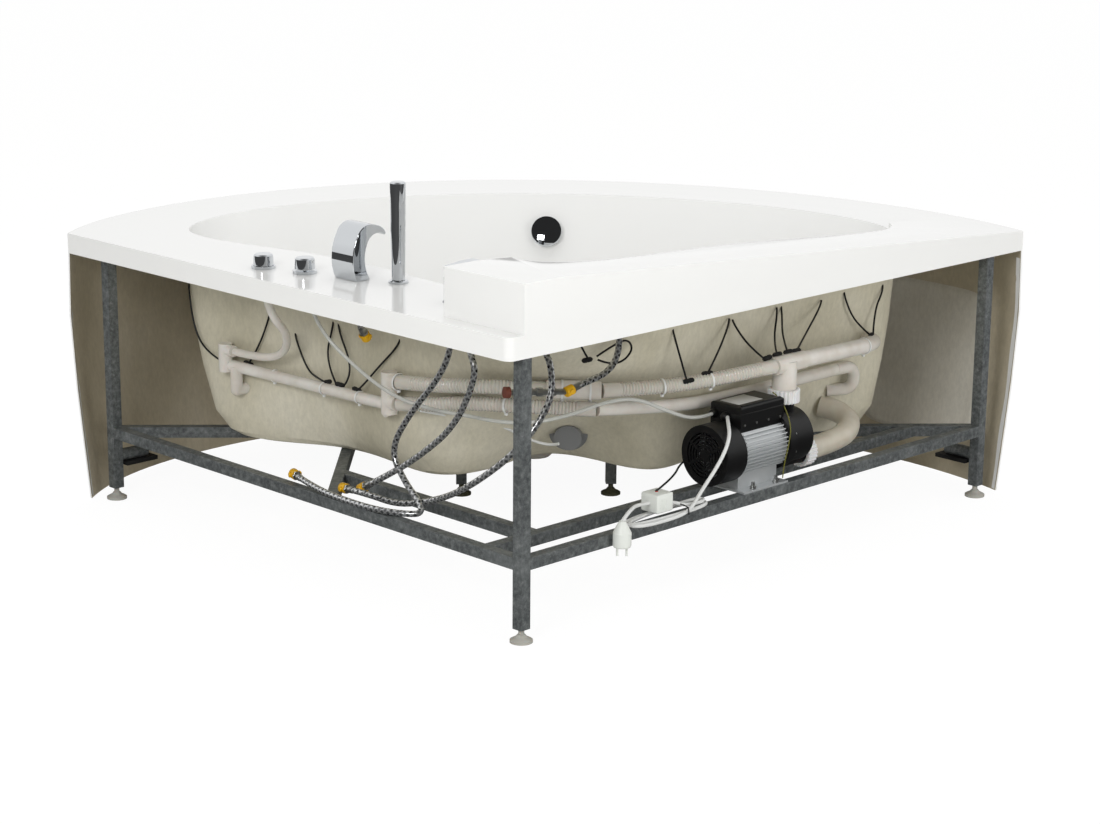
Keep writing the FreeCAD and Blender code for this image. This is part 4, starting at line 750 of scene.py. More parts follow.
# Stiffening field on its inside: middle and half size, in degrees round the room corner and
# millimetres up, how far it stands off and how deep its edge starts in the panel.
FIELD_ANGLE, FIELD_HALF_ANGLE = 80.4, 6.2
FIELD_HEIGHT, FIELD_HALF_HEIGHT = 268, 190
FIELD_LIFT, FIELD_ROOT = 11, 3
# Cut edges: middle height, half height and stand-off in millimetres, and their width and how
# far it wavers, in degrees round the room corner.
EDGE_HEIGHT, EDGE_HALF_HEIGHT, EDGE_LIFT = 284, 274, 4.0
EDGE_WIDTH, EDGE_WAVER = 0.45, 0.06


def inner_patch(name, angle, height, lift):
    """A sheet that follows the panel's inner face: its reach from the room corner is the front
    curve less the draw-in, a quartic through APRON_LEVELS, less the wall and the lift."""
    shape = np.polyfit(APRON_LEVELS[:, 0], APRON_LEVELS[:, 1], 4)
    radius = front_reach(angle) - np.polyval(shape, height) - PANEL_SKIN - lift
    turn = np.radians(angle)
    points = place(np.stack([radius * np.cos(turn), radius * np.sin(turn), height], -1))
    sheet = grid_mesh(name, points, wrap=False)
    sheet.flip_normals()
    return sheet


class TUB_OT_apron(bpy.types.Operator):
    """Front panel: acrylic outside, glass fibre inside with its moulded stiffening field"""

    bl_idname = "tub.apron"
    bl_label = "Front panel"

    def execute(self, context):
        mesh = merged("front_apron_dressed", ["front_apron"])
        centre, normal = face_rows(mesh)
        inside = (facing_out(centre, normal) < PANEL_INSIDE) & (np.abs(normal[:, 2]) < 0.9)
        mesh.polygons.foreach_set("material_index", inside.astype(np.int32))
        piece = link("front_apron_dressed", mesh, M["acrylic"], M["fibre_dark"])
        own(piece, BODY, "acrylic", "front_apron")
        # Field: a patch of the panel's inner face lifted by a height that rises as a smooth
        # step from the patch's rounded edge.
        across, tall = np.meshgrid(np.linspace(-1, 1, 61), np.linspace(-1, 1, 61))
        edge = 1 - (np.abs(across) ** 7 + np.abs(tall) ** 9) ** (1 / 8.0)
        rise = np.clip(edge / 0.10, 0, 1)
        rise = rise * rise * (3 - 2 * rise)
        field = inner_patch("panel_field", FIELD_ANGLE + FIELD_HALF_ANGLE * across,
                            FIELD_HEIGHT + FIELD_HALF_HEIGHT * tall,
                            FIELD_LIFT * rise - FIELD_ROOT)
        own(link("panel_field", field, M["fibre_field"]), BODY, "acrylic")
        # Cut edges: the acrylic shows as a pale strip down both ends, its width wavering as a
        # sine of the height.
        width = EDGE_WIDTH + EDGE_WAVER * np.sin(9 * tall)
        for name, start, sign in (("tap_cut_edge", 0.02, 1), ("pump_cut_edge", 89.98, -1)):
            strip = inner_patch(name, start + sign * width * (across + 1) / 2,
                                EDGE_HEIGHT + EDGE_HALF_HEIGHT * tall, EDGE_LIFT)
            own(link(name, strip, M["acrylic"]), BODY, "acrylic")
        dress("apron_brackets", "galvanised", "bracket_steel")
        dress("apron_pads", "rubber", "rubber")
        return {"FINISHED"}


# ---------------------------------------------------------------- frame
class TUB_OT_frame(bpy.types.Operator):
    """Galvanised frame: posts, rails and levelling feet"""

    bl_idname = "tub.frame"
    bl_label = "Frame and feet"

    def execute(self, context):
        for node in ("corner_leg", "tap_end_leg", "pump_end_leg", "front_legs", "tap_wall_rail",
                     "pump_wall_rail", "chord_rail", "inner_pump_rail", "inner_tap_rail",
                     "cross_rail"):
            dress(node, "galvanised", "galvanised", round_mm=1.8)
        for node in ("corner_foot", "tap_end_foot", "pump_end_foot"):
            dress(node, "foot", "foot_plastic")
        # The front feet take the darkened nylon: painted shade.
        for node in ("front_foot_one", "front_foot_two"):
            dress(node, "foot_dark", "dark_foot")
        return {"FINISHED"}


# ---------------------------------------------------------------- deck and waste
class TUB_OT_taps(bpy.types.Operator):
    """Deck fittings: knobs, spout, hand shower and mixer"""

    bl_idname = "tub.taps"
    bl_label = "Deck fittings"

    def execute(self, context):
        for node in ("air_knob", "pump_button", "knob_collars", "hand_shower", "shower_holder",
                     "mixer_body", "mixer_cartridge"):
            dress(node, "chrome", "chrome", 24)
        for node in ("bath_spout", "mixer_lever"):
            dress(node, "chrome", "chrome", 24, 1.6)
        dress("deck_nuts", "pvc_white", "pvc")
        return {"FINISHED"}


# Overflow knob in millimetres, and how far it stands off its plate. Its joint gives the plate's
# middle and the way it faces, in the row frame.
OVERFLOW_RADIUS = 38.0
OVERFLOW_DEPTH = 22.0
OVERFLOW_STAND = 6.5
OVERFLOW_TURN = next(joint for joint in frame["joints"] if joint["name"] == "overflow_knob_turn")
OVERFLOW_WAY = np.array(OVERFLOW_TURN["axis"])
OVERFLOW_SEAT = np.array(OVERFLOW_TURN["pos_m"]) + OVERFLOW_WAY * OVERFLOW_STAND / METRE


class TUB_OT_waste(bpy.types.Operator):
    """Overflow knob, waste plug, trap and their pipe"""

    bl_idname = "tub.waste"
    bl_label = "Waste and overflow"

    def execute(self, context):
        for node in ("waste_flange", "waste_plug"):
            dress(node, "chrome", "chrome", 24)
        # Overflow knob: a shallow dome on a short drum, its height falling off with the square
        # of the radius, turned about the knob's own sloping axis.
        rim = np.linspace(0, 1, 14)
        dome = [(0.1 + OVERFLOW_RADIUS * 0.97 * share, OVERFLOW_DEPTH - 5.5 * share ** 2)
                for share in rim]
        side = [(OVERFLOW_RADIUS, OVERFLOW_DEPTH - 7.5), (OVERFLOW_RADIUS, 2.5),
                (OVERFLOW_RADIUS - 2.5, 0.2)]
        rings = turned_about(dome + side, OVERFLOW_SEAT, OVERFLOW_WAY, 72)
        knob = link("overflow_knob_looks", crease(grid_mesh("overflow_knob", rings)), M["chrome"])
        own(knob, "overflow_knob", "chrome", "overflow_knob")
        for node in ("overflow_body", "overflow_pipe", "waste_trap"):
            dress(node, "pvc", "pvc")
        return {"FINISHED"}


# ---------------------------------------------------------------- pump
# Shaft's place, where the casing starts, its two necks and the terminal box's lid; then the
# screws and union nuts, and the outlines of screws and glands as (radius, height) points.
PUMP_A, PUMP_Z = 71.0, 257.0
VOLUTE_START = 842.0
OUTLET_B, OUTLET_TOP = 892.0, 346.0
INLET_B, INLET_Z = 959.0, 209.0
LID_TOP = 356.6
SCREW_CIRCLE, SCREW_COUNT = 63.0, 10
LID_SCREW_START, LID_SCREW_STEP = 722, 38
NUT_COUNT = 144
NUT_GRIPS = 24
NUT_LENGTH = 30.0
SCREW = [(0.1, -1), (3.4, -1), (3.4, 3), (2.6, 4), (0.1, 4)]
LID_SCREW = [(0.1, 0), (2.6, 0), (2.6, 1.4), (0.1, 1.8)]
GLAND = [(0.1, -1), (10.5, -1), (10.5, 0), (9.5, 8), (7.5, 12), (4.4, 14)]


def union_nut(base, axis, radius, bore):
    """A union nut: a closed ring profile whose outer rings swell into grips as a clipped cosine
    of the turn."""
    outside = [(radius - 2.5, 0), (radius, 1.5), (radius, NUT_LENGTH - 1.5),
               (radius - 2.5, NUT_LENGTH)]
    inside = [(bore + 4.5, NUT_LENGTH), (bore + 4.5, 16), (bore, 16), (bore, 0)]
    rings = lathe(outside + inside, base, axis, NUT_COUNT)
    turn = np.linspace(0, 2 * np.pi, NUT_COUNT, endpoint=False)
    heights = np.array([height for _, height in outside])[:, None]
    centre = (place(base) + aim(axis) * heights / METRE)[:, None, :]
    grip = 1 + 0.035 * np.clip(2.5 * np.cos(NUT_GRIPS * turn), -1, 1)
    rings[:4] = centre + (rings[:4] - centre) * grip[None, :, None]
    return link("nut", crease(grid_mesh("nut", rings, close_rows=True), 40), M["pvc_white"])


class TUB_OT_pump(bpy.types.Operator):
    """Pump: motor, terminal box, fan cover, casing and its union nuts"""

    bl_idname = "tub.pump"
    bl_label = "Pump"

    def execute(self, context):
        dress("motor_housing", "fins", "motor_aluminium")
        dress("fan_cover", "black", "black_plastic")
        dress("pump_casing", "black", "black_plastic")
        dress("terminal_box", "black_gloss", "black_plastic")
        dress("motor_stator", "steel", "motor_steel")
        dress("pump_rotor", "steel", "motor_steel")
        dress("pump_bolts", "steel", "galvanised")
        nuts = [union_nut((PUMP_A, OUTLET_B, OUTLET_TOP - 14), UP, 34.0, 23.6),
                union_nut((PUMP_A, INLET_B - 14, INLET_Z), ALONG_PUMP, 33.0, 25.6)]
        own(join("union_nuts", nuts), BODY, "pvc", "pump_unions")
        # Casing screws on a circle, apart from where the neck stands, and the lid's own screws.
        screws = []
        for number in range(SCREW_COUNT):
            turn = 2 * math.pi * (number + 0.5) / SCREW_COUNT
            spot = (PUMP_A + SCREW_CIRCLE * math.cos(turn), VOLUTE_START + 20,
                    PUMP_Z + SCREW_CIRCLE * math.sin(turn))
            if spot[2] <= PUMP_Z + 58:
                screws.append(turned("screw", SCREW, spot, ALONG_PUMP, M["steel"], 12))
        for number in range(4):
            spot = (33.0, LID_SCREW_START + LID_SCREW_STEP * number, 316)
            screws.append(turned("lid_screw", LID_SCREW, spot, (-1, 0, 0), M["steel"], 12))
        own(join("pump_screws", screws), BODY, "galvanised")
        plate = block("lid_plate", (52, 724, LID_TOP), (106, 800, LID_TOP + 1), M["label"], 0.3, 1)
        own(plate, BODY, "black_plastic")
        ridges = [block("ridge", (36, 716, LID_TOP - 0.4), (42, 842, LID_TOP + 2.2),
                        M["black_gloss"], 1.0),
                  block("lid_lip", (31.6, 708.8, 338), (120.2, 848.6, 341), M["black_gloss"], 1.2)]
        own(join("lid_trim", ridges), BODY, "black_plastic")
        glands = [turned("gland", GLAND, spot, (0, -1, 0), M["black_gloss"], 24)
                  for spot in ((74, 710, 331), (108, 712, 332))]
        own(join("cable_glands", glands), BODY, "black_plastic")
        return {"FINISHED"}


# ---------------------------------------------------------------- rigid pipes and lamp
class TUB_OT_pipes(bpy.types.Operator):
    """Rigid pipes, fittings and the lamp housing"""

    bl_idname = "tub.pipes"
    bl_label = "Rigid pipes and lamp"

    def execute(self, context):
        for node in ("manifold", "pressure_tee", "jet_bodies"):
            dress(node, "pvc", "pvc", 40)
        dress("lamp_housing", "grey", "grey_plastic")
        return {"FINISHED"}


# ---------------------------------------------------------------- hoses
# Routes as in the part's source: points of each hose's middle line, in the corner frame.
UPPER_ROUTE = [(574, 226.5, 396), (495, 240, 401), (400, 263, 413), (325, 310, 416),
               (287, 378, 407)]
LOWER_ROUTE = [(574, 226, 348.5), (515, 243, 354), (433, 290, 366), (345, 330, 370),
               (262, 395, 368), (207, 450, 366)]
PRESSURE_ROUTE = [(206, 465, 404), (165, 556, 401), (118, 672, 404), (82, 765, 413), (68, 853, 417)]
DOWN_ROUTE = [(206, 451, 366), (178, 545, 358), (165, 715, 340), (152, 940, 343),
              (150, 1162, 345)]
SUCTION_ROUTE = [(71, 960, 209), (76, 1098, 207), (112, 1182, 222), (165, 1204, 238),
                 (206, 1181, 247)]
AIR_ROUTE = [(842, 81, 581), (842, 94, 520), (858, 158, 462), (925, 200, 400), (1005, 204, 374),
             (1082, 182, 381)]
CLEAR_ROUTE = [(108, 712, 332), (96, 640, 330), (108, 560, 362), (138, 500, 395), (152, 425, 398),
               (163, 340, 384), (182, 250, 378), (240, 205, 376), (330, 205, 372),
               (440, 196, 366), (550, 180, 380), (650, 152, 440), (718, 122, 510), (741, 112, 581)]
# Radii of the smooth hoses, the plain cuff at a ribbed hose's ends and the steps to a rib.
LOWER_RADIUS, SUCTION_RADIUS, AIR_RADIUS, CLEAR_RADIUS = 14, 25, 9, 4
RIB_CUFF = 34.0
STEPS_A_RIB = 7
# Cable ties: each one's middle, the hose's way there and the radius it holds.
TIES = [((262, 404, 406.3), (-78, 84, -3), 20), ((222, 447, 404.6), (-78, 84, -3), 20),
        ((574, 226, 396), (-1, 0, 0), 17.6), ((150, 590, 402), (-47, 116, 3), 16),
        ((109, 696, 405.5), (-36, 93, 9), 16), ((985, 218.4, 336.6), (-1, 0.3, 0), 13.2),
        ((820, 224.8, 336.6), (-1, 0, 0), 13.2), ((700, 224.4, 339), (-1, 0, 0), 13.2),
        ((350, 327.7, 369.8), (-88, 40, 4), 16), ((100, 1199, 401.4), (30, 155, -13), 18)]


def tie(centre, axis, radius, material, width=4.2):
    """A cable tie: a thin band round a hose and its square head."""
    band = turned("band", [(radius + 0.2, -width / 2), (radius + 1.3, -width / 2),
                           (radius + 1.3, width / 2), (radius + 0.2, width / 2)], centre, axis,
                  material, 32, closed=True)
    a, b, z = centre
    head = block("head", (a - 3, b - 3, z - radius - 6), (a + 3, b + 3, z - radius - 0.5),
                 material, 0.6)
    return [band, head]


class TUB_OT_hoses(bpy.types.Operator):
    """Ribbed and smooth water hoses, the air hose, the clear tube and their ties"""

    bl_idname = "tub.hoses"
    bl_label = "Water and air hoses"

    def execute(self, context):
        size = context.scene.tub_hoses
        rib = (size.rib_pitch, size.rib_depth, RIB_CUFF)
        ribbed = [hose(name, route, size.ribbed_radius, M["hose"], 32,
                       size.rib_pitch / STEPS_A_RIB, rib)
                  for name, route in (("ribbed_0", UPPER_ROUTE), ("ribbed_1", LOWER_ROUTE),
                                      ("pressure_hose_looks", PRESSURE_ROUTE))]
        own(join("ribbed_hoses_looks", ribbed[:2]), BODY, "hose", "ribbed_hoses")
        own(ribbed[2], BODY, "hose", "pressure_hose")
        lower = hose("lower_hose_looks", DOWN_ROUTE, LOWER_RADIUS, M["pvc"], 32)
        own(lower, BODY, "hose", "lower_hose")
        suction = hose("suction_hose_looks", SUCTION_ROUTE, SUCTION_RADIUS, M["smooth_hose"], 40)
        own(suction, BODY, "hose", "suction_hose")
        air = [hose("air_line", AIR_ROUTE, AIR_RADIUS, M["pvc"], 28),
               hose("clear_line", CLEAR_ROUTE, CLEAR_RADIUS, M["clear"], 16)]
        own(join("air_hoses_looks", air), BODY, "hose", "air_hoses")
        ties = []
        for centre, axis, radius in TIES:
            ties += tie(centre, axis, radius, M["cable"])
        own(join("cable_ties", ties), BODY, "cable_white")
        return {"FINISHED"}


BRAIDS = [
    [(321, 150, 581), (303, 131, 528), (342, 129, 460), (425, 127, 375), (484, 122, 285),
     (430, 116, 226), (372, 106, 198), (352, 92, 181), (375, 70, 180), (430, 46, 180.5),
     (520, 42, 180), (640, 50, 181), (738, 74, 187)],
    [(305, 150, 581), (240, 132, 524), (232, 130, 480), (290, 128, 372), (400, 124, 284),
     (500, 118, 222), (556, 110, 190)],
    [(313, 138, 581), (220, 168, 588), (110, 208, 562), (84, 206, 470), (84, 160, 408),
     (112, 118, 350), (178, 92, 290), (268, 104, 238), (360, 122, 200), (430, 96, 182),
     (505, 76, 194), (577, 78, 190)],
    [(313, 162, 581), (246, 172, 570), (165, 235, 574), (118, 340, 580), (120, 428, 560),
     (132, 436, 492), (138, 405, 461), (146, 352, 451), (150, 316, 441)],
    [(628, 146, 581), (630, 158, 535), (640, 190, 492)]]
# Winged cap and fibre collar, as outlines.
CAP = [(8.0, -6), (10.8, -6), (11, -5), (11, 11), (10, 12.5), (0.1, 12.5)]
WING = [(0.2, 0), (5.5, 0.2), (6.2, 2.5), (4.8, 4.5), (0.2, 5)]
COLLAR = [(7.5, 0), (11.8, 0.5), (11.8, 11), (7.5, 12)]
# Steel union behind the corner post, from its cap to its collar.
UNION_START = np.array([154, 306, 439.0])
UNION_END = np.array([197, 184, 450.0])


def hexagon(name, base, axis, radius, length, material):
    """A hexagon nut: six columns of points, flat shaded."""
    outline = [(radius - 1, 0), (radius, 0.8), (radius, length - 0.8), (radius - 1, length)]
    return turned(name, outline, base, axis, material, 6)


def hose_end(route, radius):
    """A supply hose's ferrule, nut and cap with its two wings, in line with its last stretch."""
    tip, before = np.array(route[-1], float), np.array(route[-2], float)
    run = (tip - before) / np.linalg.norm(tip - before)
    ferrule = [(radius + 0.3, 0), (radius + 0.9, 1), (radius + 0.9, 15), (radius + 0.3, 16)]
    pieces = [turned("ferrule", ferrule, tip - run * 26, run, M["steel"], 28),
              hexagon("nut", tip - run * 10, run, 10.6, 8, M["steel"]),
              turned("cap", CAP, tip, run, M["yellow"], 36)]
    side = np.cross(run, UP)
    side /= np.linalg.norm(side)
    for sign in (-1, 1):
        pieces.append(turned("wing", WING, tip + run * 3 + side * sign * 9.5,
                             side * sign + run * 0.2, M["yellow"], 20))
    return pieces


def steel_union():
    """The union's stepped barrel, its two nuts and its fibre collar."""
    reach = float(np.linalg.norm(UNION_END - UNION_START))
    run = (UNION_END - UNION_START) / reach
    barrel = [(6.2, 0), (6.2, 22), (8.5, 22.5), (8.5, 34), (6.4, 34.5), (6.4, reach - 8),
              (7.4, reach - 7.5), (7.4, reach)]
    return [turned("union", barrel, UNION_START, run, M["steel"], 32),
            hexagon("union_nut", UNION_START + run * 52, run, 9.5, 14, M["steel"]),
            hexagon("union_nut", UNION_START + run * 76, run, 10.5, 10, M["steel"]),
            turned("collar", COLLAR, UNION_END - run * 5, run, M["collar"], 32)]


class TUB_OT_supply(bpy.types.Operator):
    """Braided supply hoses with their ferrules, nuts and winged caps"""

    bl_idname = "tub.supply"
    bl_label = "Supply hoses"

    def execute(self, context):
        radius = context.scene.tub_hoses.braided_radius
        lines = [hose("braid_%d" % number, route, radius, M["braid"], count=24, step=2.4)
                 for number, route in enumerate(BRAIDS)]
        own(join("braided_hoses_looks", lines), BODY, "braid", "braided_hoses")
        ends = []
        for route in BRAIDS:
            ends += hose_end(route, radius)
        ends += steel_union()
        own(join("hose_ends", ends), BODY, "yellow", "hose_caps")
        return {"FINISHED"}


# ---------------------------------------------------------------- thin leads
# Each lamp's black lead, the lamp's own cable, the in-line connectors with the way they lie, and
# the motor's earth lead.
LEADS = [
    [(1279, 207, 502), (1262, 193, 496), (1240, 190, 402), (1190, 188, 358), (1125, 182, 350)],
    [(1010, 229, 480), (1004, 221, 466), (1034, 214, 395), (1060, 204, 353)],
    [(943, 246, 436), (936, 239, 430), (893, 238, 362), (850, 232, 353), (812, 228, 348)],
    [(825, 257, 480), (818, 250, 472), (843, 247, 392), (777, 226, 349)],
    [(809, 259, 480), (802, 251, 470), (754, 246, 402), (752, 236, 362), (762, 228, 349)],
    [(595, 249, 482), (590, 241, 470), (650, 238, 415), (700, 232, 362), (712, 227, 351)],
    [(155, 624, 520), (148, 620, 510), (122, 630, 424), (119, 637, 402)],
    [(153, 800, 516), (147, 794, 506), (124, 730, 450), (112, 688, 420)],
    [(154, 812, 512), (147, 809, 502), (112, 824, 455), (75, 838, 430)],
    [(156, 960, 516), (149, 954, 503), (134, 926, 452), (76, 872, 435)],
    [(160, 979, 515), (152, 974, 502), (128, 948, 456), (76, 908, 435.5)],
    [(150, 1105, 512), (144, 1098, 503), (104, 990, 450), (74, 932, 435)],
    [(146, 1180, 520), (140, 1176, 509), (141, 1205, 462), (137, 1242, 428), (122, 1253, 413)],
    [(152, 1326, 516), (145, 1320, 505), (137, 1280, 466), (126, 1265, 412)],
    [(156, 398, 497), (150, 430, 512), (148, 478, 524), (150, 500, 498), (152, 472, 474),
     (154, 430, 476), (156, 402, 489)],
    [(156, 374, 494), (152, 352, 520), (162, 334, 560)],
    [(30, 447, 227.5), (86, 560, 222), (152, 655, 224), (146, 704, 236), (133, 724, 242)]]
LAMP_CABLE = [(386, 519, 243), (408, 515, 236), (430, 482, 248), (437, 429, 279), (444, 386, 300),
              (457, 345, 317), (478, 318, 318), (508, 276, 331), (517, 236, 342)]
CONNECTORS = [((1125, 182, 350), (1, 0.2, 0)), ((1060, 204, 353), (1, -0.2, 0.2)),
              ((812, 228, 352), (1, 0.1, -0.3)), ((769, 227, 354), (1, 0, 0)),
              ((712, 227, 353), (1, 0, 0.1)), ((119, 637, 412), (-0.3, 1, 0.1)),
              ((112, 688, 421), (-0.3, 1, 0)), ((75, 838, 437), (0, 1, 0.1)),
              ((76, 872, 439), (0, 1, 0)), ((76, 908, 439), (0, 1, 0)),
              ((74, 932, 438), (0, 1, 0)), ((122, 1253, 414), (0.5, 1, 0)),
              ((156, 370, 494), (0, 1, 0))]
CONNECTOR = [(0.2, -13), (3.4, -13), (5.2, -10), (5.6, -3), (4.6, 0), (5.6, 3), (5.2, 10),
             (3.4, 13), (0.2, 13)]
EARTH_ROUTE = [(64, 846, 362), (44, 852, 350), (12, 850, 300), (6, 838, 262), (8, 826, 222),
               (10, 824, 186)]
LAMP_CABLE_RADIUS = 3.2
EARTH_RADIUS = 1.2


class TUB_OT_leads(bpy.types.Operator):
    """Black lamp leads with their connectors"""

    bl_idname = "tub.leads"
    bl_label = "Lamp leads"

    def execute(self, context):
        radius = context.scene.tub_hoses.lead_radius
        pieces = [hose("lead_%d" % number, route, radius, M["lead"], 12)
                  for number, route in enumerate(LEADS)]
        pieces.append(hose("lamp_cable", LAMP_CABLE, LAMP_CABLE_RADIUS, M["cable"], 14))
        for spot, axis in CONNECTORS:
            pieces.append(turned("connector", CONNECTOR, spot, axis, M["rubber"], 16))
        own(join("light_leads_looks", pieces), BODY, "lead_black", "light_leads")
        earth = hose("earth_line", EARTH_ROUTE, EARTH_RADIUS, M["earth"], 12)
        own(earth, BODY, "lead_black")
        return {"FINISHED"}


# ---------------------------------------------------------------- mains lead
# Hank: its outermost lap, how far each lap lies inside the one before, and its two heights.
HANK_LEFT, HANK_RIGHT, HANK_LOW, HANK_HIGH = -9, 45, 352, 588
HANK_STEP = 9
HANK_LAPS = 2
HANK_Z, HANK_TOP_Z = 177.5, 186.3


def hank_laps():
    """Corner points of the hank: each lap runs inside the one before, and the last one climbs."""
    points = []
    for lap in range(HANK_LAPS):
        inset = HANK_STEP * lap
        left, right = HANK_LEFT + inset, HANK_RIGHT - inset
        low, high = HANK_LOW + inset, HANK_HIGH - inset
        climb = HANK_TOP_Z if lap == HANK_LAPS - 1 else HANK_Z
        points += [(left, low, HANK_Z), (right, low, HANK_Z), (right, high, climb),
                   (left + HANK_STEP, high, climb)]
    return points


# Mains lead from the terminal box to the switch box, and on to the plug.
MAINS_ROUTE = [(74, 712, 331), (50, 686, 333), (6, 646, 309), (8, 620, 262), (10, 560, 205),
               (-8, 512, 182), (-9, 462, 175), *hank_laps(), (9, 520, 186.8), (14, 494, 196),
               (26, 466, 204)]
PLUG_ROUTE = [(28, 430, 206), (22, 388, 213), (-3, 338, 219), (-13, 304, 203)]
# Tie round the hank, the switch box's flutes and indicator, and the sleeve on the plug.
TIE_ROUTE = [(-14.5, 500, 176), (-14.5, 500, 188), (-8, 500, 193), (20, 500, 194),
             (46, 500, 192), (51, 500, 186), (51, 500, 178)]
TIE_RADIUS = 1.4
FLUTES = 5
FLUTE_START, FLUTE_STEP = 431, 4.2
INDICATOR = [(0.1, 0), (3.4, 0), (3.0, 1.2), (0.1, 1.6)]
PLUG_SLEEVE = [(0.2, 24), (6.2, 24), (6.2, 20), (4.8, 16), (4.4, 0)]


class TUB_OT_mains(bpy.types.Operator):
    """Mains lead with its hank, switch box and plug"""

    bl_idname = "tub.mains"
    bl_label = "Mains lead"

    def execute(self, context):
        radius = context.scene.tub_hoses.mains_radius / METRE
        box = block("switch_box_looks", (4, 425, 187), (52, 473, 226.4), M["cable_box"], 4.0, 4)
        dot = turned("indicator", INDICATOR, (30, 449, 226.2), UP, M["red"], 20)
        fluting = []
        for number in range(FLUTES):
            start = FLUTE_START + FLUTE_STEP * number
            fluting.append(block("flute", (3.2, start, 196), (5.4, start + 2.2, 217),
                                 M["cable_box"], 0.5, 2))
        box = join("switch_box_looks", [box, dot] + fluting)
        own(box, BODY, "cable_white", "switch_box")
        plug = dress("mains_plug", "cable_box", "cable_white", 24)
        relief = own(turned("plug_relief", PLUG_SLEEVE, PLUG_ROUTE[-1], (0.12, 0.35, -1),
                            M["cable_box"], 20), BODY, "cable_white")
        main = spline_curve("mains_lead", MAINS_ROUTE)
        tail = spline_curve("plug_lead", PLUG_ROUTE)
        for curve in (main, tail):
            curve.bevel_depth = radius
            curve.bevel_resolution = 4
            curve.use_fill_caps = True
        lead = own(link("mains_lead", main, M["cable"]), BODY, "cable_white", "power_cable",
                   "cable_hank")
        short = own(link("plug_lead", tail, M["cable"]), BODY, "cable_white")
        wrap = hose("hank_tie", TIE_ROUTE, TIE_RADIUS, M["lead"], 10)
        own(wrap, BODY, "lead_black")
        return {"FINISHED"}


# ---------------------------------------------------------------- stage
# Camera: focal length and picture width in the photograph's pixels, and its place in metres.
FOCAL_PX = 2562.8
PICTURE_WIDE = 1100
CAMERA_AT = (-0.0396, 5.6216, 1.7067)
PITCH, ROLL, YAW = (math.radians(angle) for angle in (14.61, 0.461, 0.366))
# Lamps: place, what they point at, width and height in metres, share of the key lamp's power,
# and whether they show in reflections.
MIDDLE = (0, 0.1, 0.3)
LAMPS = {"key_box": ((1.6, 4.6, 2.6), MIDDLE, 1.5, 1.1, 1.0, True),
         "fill_box": ((-3.6, 3.4, 1.2), MIDDLE, 2.0, 2.0, 0.70, False),
         "top_box": ((0, -0.6, 3.6), (0, 0, 0.5), 3.4, 2.4, 0.38, False)}
# Floor: half its side in metres, then its glow and that glow's share of the look, as the camera
# sees it and as reflections do.
FLOOR_HALF = 30.0
SEEN_GLOW, SEEN_SHARE = 1.05, 0.9
MIRRORED_GLOW, MIRRORED_SHARE = 0.05, 0.95
# Dark side of the room: where it starts and is full, as the Y part of a ray's way, and its level.
DARK_FROM, DARK_FULL, DARK_LEVEL = -0.1, 0.25, 0.03


def level_sides(forward):
    """Right and up of a level view along a direction."""
    right = np.cross(forward, UP)
    right /= np.linalg.norm(right)
    return right, np.cross(right, forward)


def stand_at(holder, spot, right, up, forward):
    """Stands a lamp or the camera at a spot, looking forward."""
    turn = np.eye(4)
    turn[:3, 0], turn[:3, 1], turn[:3, 2], turn[:3, 3] = right, up, -forward, spot
    holder.matrix_world = Matrix(turn.tolist())


def camera_axes():
    """Right, up and forward of a level camera turned by yaw and pitch, then rolled."""
    forward = np.array([math.sin(YAW) * math.cos(PITCH), -math.cos(YAW) * math.cos(PITCH),
                        -math.sin(PITCH)])
    right, up = level_sides(forward)
    return (right * math.cos(ROLL) + up * math.sin(ROLL),
            -right * math.sin(ROLL) + up * math.cos(ROLL), forward)


def soft_box(name, spot, target, wide, tall, power):
    """A rectangular area lamp that points at its target."""
    lamp = bpy.data.lights.new(name, "AREA")
    lamp.shape = "RECTANGLE"
    lamp.size = wide
    lamp.size_y = tall
    lamp.energy = power
    holder = bpy.data.objects.new(name, lamp)
    bpy.context.scene.collection.objects.link(holder)
    forward = np.array(target, float) - np.array(spot, float)
    forward /= np.linalg.norm(forward)
    stand_at(holder, spot, *level_sides(forward), forward)
    return holder


def make_floor():
    """A pale plane that the camera sees as white and that keeps a soft shadow."""
    mesh = bpy.data.meshes.new("floor")
    mesh.from_pydata([(-FLOOR_HALF, -FLOOR_HALF, 0), (FLOOR_HALF, -FLOOR_HALF, 0),
                      (FLOOR_HALF, FLOOR_HALF, 0), (-FLOOR_HALF, FLOOR_HALF, 0)], [],
                     [(0, 1, 2, 3)])
    material = bpy.data.materials.new("pale_floor")
    material.use_nodes = True
    tree = material.node_tree
    tree.nodes.clear()
    path = add(tree, "ShaderNodeLightPath")
    matt = add(tree, "ShaderNodeBsdfDiffuse", {"Color": srgb("#f0f0ee")})
    white = add(tree, "ShaderNodeEmission", {"Color": (1, 1, 1, 1), "Strength": SEEN_GLOW})
    seen = add(tree, "ShaderNodeMath", {0: path.outputs["Is Camera Ray"], 1: SEEN_SHARE},
               operation="MULTIPLY")
    pale = add(tree, "ShaderNodeMixShader", {0: seen.outputs[0], 1: matt.outputs[0],
                                             2: white.outputs[0]})
    faint = add(tree, "ShaderNodeEmission", {"Color": (1, 1, 1, 1), "Strength": MIRRORED_GLOW})
    mirrored = add(tree, "ShaderNodeMath", {0: path.outputs["Is Glossy Ray"], 1: MIRRORED_SHARE},
                   operation="MULTIPLY")
    whole = add(tree, "ShaderNodeMixShader", {0: mirrored.outputs[0], 1: pale.outputs[0],
                                              2: faint.outputs[0]})
    add(tree, "ShaderNodeOutputMaterial", {"Surface": whole.outputs[0]})
    return link("floor", mesh, material)


